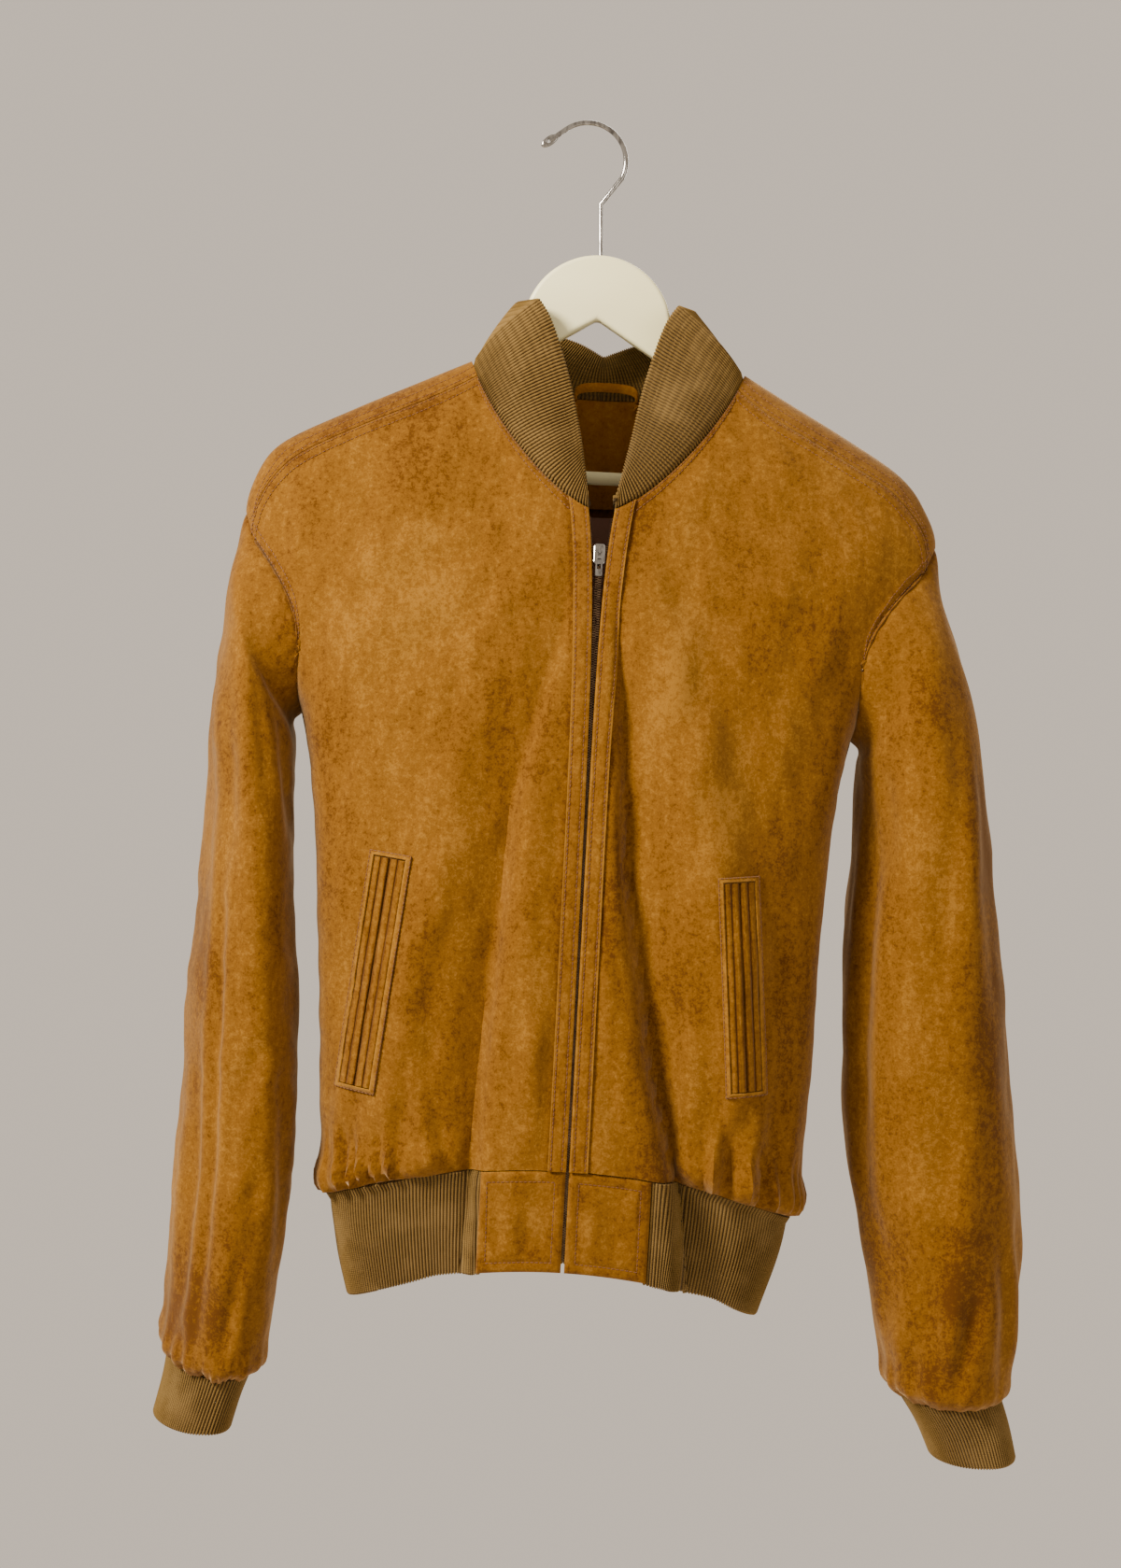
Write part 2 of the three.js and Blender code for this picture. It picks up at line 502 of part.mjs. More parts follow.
// The back, from the right side seam round to the left, and the two strips of it that run forward over
// the ridge to the shoulder seams. The first row of the back is the neck seam and the two ridges.
function backGrids() {
  const neckEnd = NECK_SHARE.back;
  const reachAt = (angle, z) => columnAt(BODY, "half", z) * Math.sin(radians(Math.abs(angle)));
  const half = (side) => {
    const armHalf = columnAt(BODY, "half", ARMHOLE.topZ);
    const ridge = (t) => ({ angle: side * 90, z: ridgeZ(lerp(NECK.half, armHalf, t)) });
    const top = (u) =>
      u < neckEnd ? neckPlace(side, 2 - u / neckEnd) : ridge((u - neckEnd) / (1 - neckEnd));
    const foot = (u) => {
      const angle = side * (180 - 90 * u);
      return { angle, z: hemZ(angle) };
    };
    const centre = (v) => ({ angle: side * 180, z: lerp(NECK.backZ, hemZ(180), v) });
    const across = [
      ...BACK_NECK.slice(0, -1).map((along) => (2 - along) * neckEnd),
      ...steps(SHOULDER_STEPS).map((t) => neckEnd + t * (1 - neckEnd)),
    ];
    const edges = [top, foot, centre, panelSide(side, "back", 0)];
    const main = pointsOf(patch("back", edges, across, BACK_ROWS));
    const strip = OVER_RIDGE.map((t) =>
      steps(SHOULDER_STEPS).map((out) => {
        if (out === 0) return neckPlace(side, lerp(SHOULDER_SEAM.neckStep, 1, t));
        if (out === 1) return armholePlace(side, "front", lerp(1 / ARMHOLE_STEPS, 0, t));
        const [seam, top] = [shoulderSeam(side, out), ridge(out)];
        const z = lerp(seam.z, top.z, t);
        const reach = lerp(reachAt(seam.angle, seam.z), reachAt(top.angle, top.z), t);
        return { angle: side * degrees(Math.asin(clamp(reach / columnAt(BODY, "half", z), 0, 1))), z };
      }),
    );
    return { main, strip: [...pointsOf(strip), main[0].slice(BACK_NECK.length - 1)] };
  };
  const [right, left] = [half(1), half(-1)];
  const main = right.main.map((row, r) => [...row.reverse(), ...left.main[r].slice(1)]);
  return { main, strips: [right.strip.map((row) => row.reverse()), left.strip] };
}

// ---- sleeves and cuffs ----
const SLEEVE_SIDES = 2 * ARMHOLE_STEPS;

// A ring of a sleeve: 0 degrees is its outer side and 90 its front.
function sleeveRing(side, row) {
  const turn = radians(row.turn);
  return Array.from({ length: SLEEVE_SIDES }, (_, i) => {
    const around = radians((360 * i) / SLEEVE_SIDES);
    const out = Math.cos(around) * row.half;
    const ahead = Math.sin(around) * row.deep;
    return new THREE.Vector3(
      side * (row.x + out * Math.cos(turn) - ahead * Math.sin(turn)),
      row.y - out * Math.sin(turn) - ahead * Math.cos(turn),
      row.z + row.rise * Math.cos(around) - row.pitch * Math.sin(around),
    );
  });
}

// The armhole as a ring with the same places as the sleeve's rings, set just clear of the body's panels.
function armholeRing(side) {
  const half = SLEEVE_SIDES / 2;
  const at = (face, along) => {
    const place = armholePlace(side, face, along);
    return bodyPoint(place.angle, place.z).add(new THREE.Vector3(side * 5 * SEAM, 0, -4 * SEAM));
  };
  return Array.from({ length: SLEEVE_SIDES }, (_, i) =>
    i <= half ? at("front", i / half) : at("back", (SLEEVE_SIDES - i) / half),
  );
}

const oriented = (rings, side) => (side > 0 ? rings.map((ring) => [...ring].reverse()) : rings);

function sleeve(name, side) {
  const table = SLEEVES[name];
  const rings = [armholeRing(side), ...table.map((row) => sleeveRing(side, row))];
  return cloth(`sleeve_${name}`, oriented(rings, side), SUEDE, "suede", { closed: true });
}

function cuff(name, side) {
  const rings = CUFFS[name].map((row) => sleeveRing(side, row));
  return cloth(`cuff_${name}`, oriented(rings, side), RIB, "rib", { closed: true });
}

// ---- collar ----
// The collar runs anticlockwise from the right end at the zip, round the back, to the left end.
function collarMesh() {
  const up = steps(3);
  const overRidge = OVER_RIDGE.slice(1).map((t) => lerp(SHOULDER_SEAM.neckStep, 1, t));
  const strip = (side) =>
    [0, ...FRONT_NECK, ...overRidge, ...[...BACK_NECK].reverse()].map((along) => {
      const place = neckPlace(side, along);
      const seam = bodyPoint(place.angle, place.z);
      const at = (column) => columnAt(COLLAR, column, along, "along");
      const edge = new THREE.Vector3(at(side < 0 ? "left" : "right"), at("y"), at("z"));
      const height = seam.distanceTo(edge);
      const start = seam.clone().lerp(edge, COLLAR_LIFT / height);
      const turn = radians(COLLAR_BOW.turn * Math.min(along, 1));
      const out = new THREE.Vector3(side * Math.sin(turn), along < 1 ? -Math.cos(turn) : 1, 0).normalize();
      const bow = COLLAR_BOW.rise * Math.min(1, height / COLLAR_BOW.tall) ** 2;
      return up.map((t) => start.clone().lerp(edge, t).addScaledVector(out, bow * Math.sin(Math.PI * t)));
    });
  const run = [...strip(1), ...strip(-1).reverse().slice(1)];
  const rows = [...up].reverse().map((_, r) => run.map((column) => column[up.length - 1 - r]));
  return cloth("collar", rows, RIB, "rib");
}

// ---- waistband ----
const BAND_ROWS = steps(3).map((t) => 2 * SEAM + HEM.ribHeight * t);

// A point of the band a distance across from the zip, and a drop below the waist seam.
function bandPlace(across, drop) {
  const first = frontAngle(ZIP.x + across, HEM.centreZ - drop);
  const z = hemZ(first) - drop;
  return { angle: frontAngle(ZIP.x + across, z), z };
}

function waistRib() {
  const rows = BAND_ROWS.map((drop) => {
    const start = bandPlace(TAB.right, drop).angle;
    const end = 360 + bandPlace(-TAB.left, drop).angle;
    return steps(44).map((t) => {
      const angle = lerp(start, end, t);
      return bodyPoint(angle, hemZ(angle > 180 ? 360 - angle : angle) - drop);
    });
  });
  return cloth("waist_rib", trimmed(rows, { ends: 0, sides: 1.2 }), RIB, "rib");
}

function waistTab(name, side) {
  const across = steps(3).map((t) => side * lerp(ZIP.restGap, TAB[name], t));
  if (side < 0) across.reverse();
  const rows = BAND_ROWS.map((drop) =>
    across.map((gap) => {
      const place = bandPlace(gap, drop);
      return bodyPoint(place.angle, place.z);
    }),
  );
  return cloth(`waist_tab_${name}`, trimmed(rows, { ends: 0 }), TAB.thick, "suede");
}

// ---- what lies on the front panels ----
function placket(name, side, grid) {
  const rows = moved(grid, CLEAR + PLACKET.thick).map((row) =>
    side > 0 ? row.slice(0, 2) : row.slice(-2),
  );
  return cloth(`placket_${name}`, trimmed(rows, { ends: 0 }), PLACKET.thick, "suede");
}

// A point on the front's own facets, so that what is sewn on follows them.
function onPanel(panel, x, z) {
  const ray = new THREE.Raycaster(new THREE.Vector3(x, -400, z), new THREE.Vector3(0, 1, 0));
  return ray.intersectObject(panel)[0].point;
}

function pocketLip(pocket, panel, lip) {
  const start = WELT.slot / 2;
  const along = new THREE.Vector2(pocket.footX - pocket.topX, pocket.footZ - pocket.topZ);
  const length = along.length();
  along.normalize();
  const across = new THREE.Vector2(-along.y, along.x); // to the right, as the pocket runs down
  const side = lip === "inner" ? -Math.sign(pocket.topX) : Math.sign(pocket.topX);
  const gaps = [start, start + WELT.lips / 2, start + WELT.lips].map((gap) => gap * side);
  if (side < 0) gaps.reverse();
  const rows = steps(8).map((t) =>
    gaps.map((gap) => {
      const x = pocket.topX + along.x * length * t + across.x * gap;
      const z = pocket.topZ + along.y * length * t + across.y * gap;
      return onPanel(panel, x, z);
    }),
  );
  return cloth(`pocket_${pocket.side}_${lip}_lip`, moved(rows, WELT.lift + WELT.rise), WELT.rise, "suede");
}

// ---- inside the neck ----
const FACING_ROWS = 7;

// The facing and the lining lie against the inside of the back, so they are made from its points.
function facing(back) {
  const middle = (back[0].length - 1) / 2;
  const inner = moved(back, -(SUEDE + CLEAR)).slice(0, FACING_ROWS);
  const rows = inner.map((row) => row.slice(middle - 4, middle + 5));
  return cloth("neck_facing", trimmed(rows, { ends: 2, sides: 0 }), SUEDE, "inside");
}

function lining(back) {
  const inner = moved(back, -(SUEDE + CLEAR)).slice(FACING_ROWS - 1);
  const rows = inner.map((row) => row.slice(4, -4));
  return cloth("back_lining", trimmed(rows, { sides: 0 }), 1, "lining");
}

// A narrow strap that bows out between its two sewn ends, behind the neck.
function hangLoop() {
  const sewnY = bodyPoint(180, NECK.backZ - 3).y - 2 * SUEDE - CLEAR - 1.1;
  const at = (across, y, z) => new THREE.Vector3(NECK.middle + across, y, z);
  const route = new THREE.CatmullRomCurve3([
    at(LOOP.half, sewnY, NECK.backZ - 3),
    at(LOOP.half - 1, sewnY - LOOP.stand / 2, LOOP.topZ - 3),
    at(LOOP.half / 2, sewnY - LOOP.stand, LOOP.topZ),
    at(-LOOP.half / 2, sewnY - LOOP.stand, LOOP.topZ),
    at(1 - LOOP.half, sewnY - LOOP.stand / 2, LOOP.topZ - 3),
    at(-LOOP.half, sewnY, NECK.backZ - 3),
  ]);
  const rows = [0, -LOOP.wide].map((drop) =>
    route.getSpacedPoints(16).map((p) => p.clone().add(new THREE.Vector3(0, 0, drop))),
  );
  return cloth("hang_loop", rows, LOOP.thick, "suede");
}

// ---- zip ----
// The zip's strips hang from the two panels' edge columns, and run on down behind the waist tabs.
function zipRuns(fronts) {
  const rows = fronts.right.map((right, r) => {
    const left = fronts.left[r];
    return { right: [right[0], right[1]], left: [left.at(-1), left.at(-2)] };
  });
  for (const drop of BAND_ROWS.slice(1)) {
    const at = (across) => {
      const place = bandPlace(across, Math.min(drop, HEM.ribHeight - 3));
      return bodyPoint(place.angle, place.z);
    };
    rows.push({
      right: [at(ZIP.restGap), at(ZIP.restGap + PLACKET.width)],
      left: [at(-ZIP.restGap), at(-ZIP.restGap - PLACKET.width)],
    });
  }
  return rows;
}

function zipParts(fronts) {
  const runs = zipRuns(fronts);
  const back = new THREE.Vector3(0, ZIP.behind, 0);
  const behind = (rows) => rows.map((row) => row.map((p) => p.clone().add(back)));
  const tape = (name, side) => {
    const rows = runs.slice(1).map((run) => {
      const [edge, far] = run[name];
      const width = edge.distanceTo(far);
      const from = Math.max(ZIP.teethHalf + CLEAR - Math.abs(edge.x - ZIP.x), -1.5);
      const row = [from, from + ZIP.tape].map((x) => edge.clone().lerp(far, x / width));
      return side > 0 ? row : row.reverse();
    });
    return cloth(`zip_tape_${name}`, behind(rows), ZIP.thick, "tape");
  };
  const low = runs.filter((run) => run.right[0].z < SLIDER.z + SLIDER.length);
  const rows = low.map((run) =>
    [-1, 1].map((side) => {
      const middle = run.left[0].clone().lerp(run.right[0], 0.5);
      return middle.add(new THREE.Vector3(side * ZIP.teethHalf, 0, 0));
    }),
  );
  return [tape("right", 1), tape("left", -1), cloth("zip_teeth", behind(rows), ZIP.thick, "teeth")];
}

const boxOf = (x0, x1, y0, y1, z0, z1) =>
  new THREE.BoxGeometry(x1 - x0, y1 - y0, z1 - z0).translate((x0 + x1) / 2, (y0 + y1) / 2, (z0 + z1) / 2);

// A flat plate in the XZ plane, from a shape drawn in x and z.
function plate(shape, thickness, bevel = 0, curveSegments = 6) {
  const geometry = new THREE.ExtrudeGeometry(shape, {
    depth: thickness - 2 * bevel,
    bevelEnabled: bevel > 0,
    bevelThickness: bevel,
    bevelSize: bevel,
    bevelOffset: -bevel,
    bevelSegments: 2,
    curveSegments,
  });
  return geometry.translate(0, 0, -(thickness - 2 * bevel) / 2).rotateX(Math.PI / 2);
}

function roundedShape(x0, x1, z0, z1, radius) {
  const shape = new THREE.Shape();
  shape.absarc(x1 - radius, z1 - radius, radius, 0, Math.PI / 2);
  shape.absarc(x0 + radius, z1 - radius, radius, Math.PI / 2, Math.PI);
  shape.absarc(x0 + radius, z0 + radius, radius, Math.PI, 1.5 * Math.PI);
  shape.absarc(x1 - radius, z0 + radius, radius, 1.5 * Math.PI, 2 * Math.PI);
  return shape;
}

// The slider lies on the teeth. A bridge on its face runs through the eye of the pull, which hangs on it.
function sliderGroup() {
  const on = (z) => bodyPoint(frontAngle(ZIP.x, z), z);
  const [high, low] = [on(SLIDER.z + SLIDER.length / 2), on(SLIDER.z - SLIDER.length / 2)];
  const group = new THREE.Group();
  group.position.copy(high.clone().lerp(low, 0.5));
  group.rotation.x = -Math.atan2(high.y - low.y, high.z - low.z);
  const half = SLIDER.length / 2;
  const body = plate(roundedShape(-SLIDER.half, SLIDER.half, -half, half, 2.2), SLIDER.thick, 0.5);
  body.translate(0, SLIDER.thick / 2 - SLIDER.proud, 0);
  const pinY = -SLIDER.proud - PULL_GAP - PULL.thick / 2;
  const { half: side, top, foot, under, thick } = BRIDGE;
  const [front, back] = [pinY - under - thick, -SLIDER.proud + 0.5];
  const arch = [
    boxOf(-side, side, front, pinY - under, PULL.pinZ + foot, PULL.pinZ + top),
    boxOf(-side, side, front, back, PULL.pinZ + foot, PULL.pinZ + foot + thick),
    boxOf(-side, side, front, back, PULL.pinZ + top - thick, PULL.pinZ + top),
  ];
  group.add(meshOf("zip_slider", joined([body, ...arch]), "chrome"));
  const shape = roundedShape(-PULL.half, PULL.half, -PULL.length, PULL.pin, 0.5);
  const inner = PULL.half - PULL.leg;
  shape.holes.push(roundedShape(-inner, inner, -PULL.eye, -PULL.pin, 0.3));
  const windowTop = -PULL.eye - PULL.leg;
  shape.holes.push(roundedShape(-inner, inner, windowTop - PULL.window, windowTop, 0.5));
  const pull = plate(shape, PULL.thick, 0, 2);
  pull.translate(0, pinY, PULL.pinZ);
  group.add(meshOf("zip_pull", pull, "chrome"));
  return group;
}

// ---- the hanger ----
function solidOf(geometry) {
  const plain = new THREE.BufferGeometry();
  const loose = geometry.index ? geometry.toNonIndexed() : geometry;
  plain.setAttribute("position", loose.getAttribute("position"));
  const merged = mergeVertices(plain, 1e-4);
  const vertProperties = new Float32Array(merged.getAttribute("position").array);
  const triVerts = new Uint32Array(merged.index.array);
  return new wasm.Manifold(new wasm.Mesh({ numProp: 3, vertProperties, triVerts }));
}

function geometryOf(solid) {
  const mesh = solid.getMesh();
  const geometry = new THREE.BufferGeometry();
  geometry.setAttribute("position", new THREE.BufferAttribute(mesh.vertProperties, 3));
  return geometry.setIndex(new THREE.BufferAttribute(mesh.triVerts, 1));
}

const joined = (geometries) => geometryOf(wasm.Manifold.union(geometries.map(solidOf)));

// The hanger's body: a domed crown with a notched underside, and two arms that end just under the ridge.
function hangerBody() {
  const shape = new THREE.Shape();
  const ridge = HANGER_RIDGE.map((z) => {
    const reach = columnAt(BODY, "half", z) - columnAt(BODY, "middle", z);
    return new THREE.Vector2(reach, z - HANGER.room);
  });
  const flat = (p) => new THREE.Vector2(p.x, p.z);
  const half = [...ARM_UNDERSIDE.map(flat).reverse(), ...ridge, ...ARM_SWING.map(flat)];
  const dome = steps(13).map((t) => {
    const turn = radians(lerp(HANGER.domeFrom, 0, t));
    return new THREE.Vector2(Math.sin(turn), Math.cos(turn) - 1).multiplyScalar(HANGER.crown);
  });
  const right = [new THREE.Vector2(0, HANGER.apexZ), ...half, ...dome];
  const left = right.slice(1, -1).reverse().map((p) => new THREE.Vector2(-p.x, p.y));
  shape.setFromPoints([...right, ...left]);
  const body = solidOf(plate(shape, HANGER.thick, HANGER.bevel));
  const rod = new THREE.CylinderGeometry(1, 1, 1, 16);
  const bore = rod.clone().scale(BORE.radius, HOOK.sunk + BORE.over, BORE.radius).rotateX(Math.PI / 2);
  bore.translate(0, 0, (BORE.over - HOOK.sunk) / 2).rotateY(-radians(HANG.tilt)); // plumb, as the hook hangs
  const seat = rod.clone().scale(BAR.radius + SEAM, 2 * (BAR.half + SEAM), BAR.radius + SEAM);
  seat.rotateZ(Math.PI / 2);
  const cut = solidOf(seat.translate(0, 0, BAR.z));
  return meshOf("hanger_body", geometryOf(body.subtract(solidOf(bore)).subtract(cut)), "painted");
}

function hangerBar() {
  const bar = new THREE.CylinderGeometry(BAR.radius, BAR.radius, 2 * BAR.half, 20).rotateZ(Math.PI / 2);
  return meshOf("hanger_bar", bar.translate(0, 0, BAR.z), "painted");
}

// The hook is one bent wire: up from its socket, over in an arc and out to a flattened end.
function hook() {
  const flat = (x, z) => new THREE.Vector3(x, 0, z);
  const centreZ = HOOK.wire - HOOK.bow;
  const arcPoint = (turn) =>
    flat(HOOK.middleX + HOOK.bow * Math.cos(radians(turn)), centreZ + HOOK.bow * Math.sin(radians(turn)));
  const foot = flat(HANG.socketX, HANG.socketZ - HOOK.sunk + BORE.footRoom);
  const kink = flat(HOOK_STEM.kinkX, HOOK_STEM.kinkZ);
  const tip = flat(HOOK_STEM.tipX, HOOK_STEM.tipZ);
  const turns = steps(14).map((t) => lerp(HOOK.rightEnd, HOOK.leftEnd, t));
  const points = [foot, kink, ...turns.map(arcPoint), tip];
  const rings = points.map((p, i) => {
    const before = points[Math.max(i - 1, 0)];
    const after = points[Math.min(i + 1, points.length - 1)];
    const into = p.clone().sub(before).normalize();
    const onward = after.clone().sub(p).normalize();
    const along = into.add(onward).normalize();
    const side = new THREE.Vector3(-along.z, 0, along.x);
    return steps(12).slice(1).map((t) => {
      const around = 2 * Math.PI * t;
      const out = side.clone().multiplyScalar(Math.cos(around));
      return p.clone().addScaledVector(out.add(new THREE.Vector3(0, Math.sin(around), 0)), HOOK.wire);
    });
  });
  const end = new THREE.CapsuleGeometry(HOOK_END.radius, HOOK_END.length, 6, 14);
  end.rotateX(Math.PI / 2).scale(1, HOOK_END.flat, 1);
  const flare = tip.clone().sub(arcPoint(HOOK.leftEnd));
  const lean = Math.atan2(flare.x, flare.z);
  end.rotateY(lean).translate(tip.x, 0, tip.z);
  return meshOf("hanger_hook", joined([tubeOf(rings), end]), "chrome");
}

// A closed solid through rings of points, capped at both ends.
function tubeOf(rings) {
  const triangles = gridTriangles(rings, true);
  for (const [ring, first] of [[rings[0], true], [rings.at(-1), false]]) {
    for (let i = 1; i + 1 < ring.length; i += 1) {
      triangles.push(first ? [ring[0], ring[i], ring[i + 1]] : [ring[0], ring[i + 1], ring[i]]);
    }
  }
  return new THREE.BufferGeometry().setFromPoints(triangles.flat());
}

// ---- the whole ----
const hung = new THREE.Group();
hung.position.set(HANG.socketX, 0, HANG.socketZ);
hung.rotation.y = radians(HANG.tilt);
hung.add(hangerBody(), hangerBar());

const fronts = {
  left: trimmed(frontGrid(-1), { ends: 2 * SEAM }),
  right: trimmed(frontGrid(1), { ends: 2 * SEAM }),
};
const panels = {};
for (const [name, side] of [["left", -1], ["right", 1]]) {
  panels[name] = cloth(`front_${name}`, fronts[name], SUEDE, "suede", { keep: shortOfSideSeam(-1) });
  hung.add(panels[name], placket(name, side, fronts[name]), sleeve(name, side), cuff(name, side));
  hung.add(waistTab(name, side));
}
for (const pocket of POCKETS) {
  for (const lip of ["inner", "outer"]) hung.add(pocketLip(pocket, panels[pocket.side], lip));
}
const { main: back, strips } = backGrids();
hung.add(cloth("back", back, SUEDE, "suede", { keep: shortOfSideSeam(1), also: strips }));
hung.add(facing(back), lining(back));
hung.add(collarMesh(), waistRib(), hangLoop(), ...zipParts(fronts), sliderGroup());

const jacket = new THREE.Group();
jacket.add(hung, hook());
export default jacket;
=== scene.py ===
# %% [markdown]
# # A suede bomber jacket on its hanger
# The real jacket is suede sewn to rib-knit bands, and it hangs on a painted wooden hanger.
# Its CAD solids are loaded first: they fix where everything is, and each cloth piece made here stands for
# one of them. Cloth may stand only a little proud.

# %% Load the CAD frame
import math

import bpy
import numpy as np
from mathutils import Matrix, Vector


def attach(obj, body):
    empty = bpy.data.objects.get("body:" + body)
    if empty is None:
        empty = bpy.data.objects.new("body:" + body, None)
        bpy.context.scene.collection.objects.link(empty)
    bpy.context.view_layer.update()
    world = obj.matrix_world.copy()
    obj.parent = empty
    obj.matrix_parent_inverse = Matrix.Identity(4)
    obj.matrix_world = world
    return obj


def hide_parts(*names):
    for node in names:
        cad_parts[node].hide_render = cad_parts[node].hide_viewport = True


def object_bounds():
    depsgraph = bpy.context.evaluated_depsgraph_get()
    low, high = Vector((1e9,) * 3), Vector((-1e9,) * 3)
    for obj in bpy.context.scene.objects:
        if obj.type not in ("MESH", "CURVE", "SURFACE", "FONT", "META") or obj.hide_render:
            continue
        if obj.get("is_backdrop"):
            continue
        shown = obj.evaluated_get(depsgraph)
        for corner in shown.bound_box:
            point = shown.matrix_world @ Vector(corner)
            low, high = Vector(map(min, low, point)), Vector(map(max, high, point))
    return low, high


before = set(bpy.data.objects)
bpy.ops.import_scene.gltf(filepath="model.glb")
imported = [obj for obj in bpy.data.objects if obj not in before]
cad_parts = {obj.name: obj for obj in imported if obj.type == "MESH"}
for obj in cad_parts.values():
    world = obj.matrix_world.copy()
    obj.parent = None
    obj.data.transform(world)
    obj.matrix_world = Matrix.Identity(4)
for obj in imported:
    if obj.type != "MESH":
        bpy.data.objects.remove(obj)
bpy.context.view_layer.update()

# %% [markdown]
# ## Where things are
# The pattern is worked out in millimetres, square to the zip. The hanger has slipped three degrees out of
# level, so one function turns all points at once about the socket of the hook and makes them metres.

# %% Turning the square pattern into its hung place
MM = 0.001
TILT = math.radians(3)
SOCKET = (7.5, -94.0)  # across and up from the inside top of the hook


def hung(points):
    x, y, z = points[..., 0], points[..., 1], points[..., 2]
    across = x * math.cos(TILT) + z * math.sin(TILT) + SOCKET[0]
    up = z * math.cos(TILT) - x * math.sin(TILT) + SOCKET[1]
    return np.stack([across, y, up], -1) * MM


def unit(vectors):
    return vectors / np.maximum(np.linalg.norm(vectors, axis=-1, keepdims=True), 1e-9)


def smooth(value, low, high):
    t = np.clip((value - low) / (high - low), 0, 1)
    return t * t * (3 - 2 * t)


def lerp(a, b, t):
    return a + (b - a) * t


def bell(value, width):
    """1 at nothing, and falling away smoothly on both sides."""
    return np.exp(-((value / width) ** 2))


# %% [markdown]
# ## Smooth lines through measured sections
# A tailor's form is known at a few heights. Between them the cloth runs in smooth curves, so each table is
# read with a cubic that passes through its rows. The same reader serves whole rings of points.

# %% Reading a table smoothly
def glide(order, values, at):
    order, values = np.asarray(order, float), np.asarray(values, float)
    if order[-1] < order[0]:
        order, values = order[::-1], values[::-1]
    last = len(order) - 1
    before, after = np.maximum(np.arange(last + 1) - 1, 0), np.minimum(np.arange(last + 1) + 1, last)
    extra = (1,) * (values.ndim - 1)
    slope = (values[after] - values[before]) / (order[after] - order[before]).reshape(-1, *extra)
    place = np.clip(at, order[0], order[-1])
    k = np.clip(np.searchsorted(order, place, side="right") - 1, 0, last - 1)
    shape = np.shape(place) + extra
    span = np.reshape(order[k + 1] - order[k], shape)
    t = np.reshape(place - order[k], shape) / span
    rest = 1 - t
    ends = values[k] * (1 + 2 * t) * rest**2 + values[k + 1] * (3 - 2 * t) * t**2
    return ends + span * (slope[k] * t * rest**2 - slope[k + 1] * t**2 * rest)


# Level sections of the body: height, half width, depth in front, depth behind, squareness, middle, side tuck.
BODY = np.array([
    (-80, 98, 22, 36, 2.3, 9.5, 0), (-100, 137, 30, 41, 2.3, 6, 0), (-120, 176, 37, 46, 2.3, 3, 0),
    (-145, 220, 45, 50, 2.2, 0, 0), (-165, 237, 51, 53, 2.2, 1, 0), (-196, 247, 58, 56, 2.2, 3, 0),
    (-240, 236, 68, 62, 2.4, 1, 0), (-290, 214, 76, 66, 2.6, 0, 0), (-335, 199, 81, 68, 2.7, 0, 3),
    (-400, 191, 86, 70, 2.8, 1, 7), (-480, 186, 90, 70, 2.8, 2, 9), (-560, 182, 92, 68, 2.8, 4, 8),
    (-630, 177, 91, 64, 2.7, 5, 6), (-690, 170, 86, 58, 2.6, 5, 2), (-750, 152, 80, 52, 2.6, 4, 0),
], float)
HALF, FRONT, BEHIND, SQUARE, MIDDLE, TUCK = range(1, 7)


def section(z, column):
    return glide(BODY[:, 0], BODY[:, column], z)


print("half width at the armpits, mm:", round(float(section(-335.0, HALF)), 1))

# %% [markdown]
# ## Folds and creases
# Heavy suede hangs in a few long folds and many short, uneven creases. A fold is a line that is read by
# height. A crease is a short stroke with a trough and a raised lip on each side, as cloth buckles. All are
# placed one by one, because repeating ripples would look like a machine's.

# %% The long folds: height, place across, width, and how far the cloth comes out
FRONT_FOLDS = [
    [(-235, -8, 15, 0), (-400, -44, 16, -9), (-560, -54, 17, -13), (-735, -62, 16, -14)],
    [(-235, 22, 12, 0), (-330, 32, 12, -9), (-440, 42, 14, -13), (-560, 64, 16, -18), (-660, 88, 16, -20),
     (-745, 97, 16, -16)],
    [(-212, 36, 20, 0), (-290, 56, 21, 6), (-430, 102, 23, 11), (-560, 116, 24, 8), (-650, 122, 24, 0)],
    [(-250, -34, 24, 0), (-450, -94, 26, 7), (-600, -104, 26, 4), (-660, -106, 26, 0)],
    [(-330, -20, 13, 0), (-450, -26, 13, 4), (-560, -26, 14, 6), (-660, -26, 14, 0)],
]
BACK_FOLDS = [
    [(-250, -60, 26, 0), (-420, -70, 26, -7), (-640, -82, 24, -9), (-720, -86, 24, 0)],
    [(-180, 4, 34, 0), (-420, 5, 34, 6), (-640, 6, 34, 7), (-720, 6, 30, 0)],
    [(-260, 72, 24, 0), (-450, 84, 24, -7), (-640, 95, 24, -8), (-720, 97, 24, 0)],
    [(-300, 40, 18, 0), (-480, 46, 18, 4), (-660, 50, 18, 0)],
]


VALLEY = {"steep": 0.42, "open": 1.5}


def fold_rise(folds, x, z):
    rise = np.zeros_like(x)
    for fold in folds:
        table = np.array(fold, float)
        heights = table[::-1, 0]
        at, width, out = (np.interp(z, heights, table[::-1, c]) for c in (1, 2, 3))
        inside = (z <= table[0, 0]) & (z >= table[-1, 0])
        away = (x - at) / width
        # A valley is steep towards the zip, where the leather bends double, and opens slowly outwards.
        outward = away * np.sign(table[-1, 1])
        steep = np.where(outward < 0, bell(outward, VALLEY["steep"]),
                         np.exp(-np.abs(outward / VALLEY["open"]) ** 1.2))
        shape = np.where(out < 0, steep, np.exp(-away * away))
        rise += np.where(inside, out, 0) * shape
    return rise


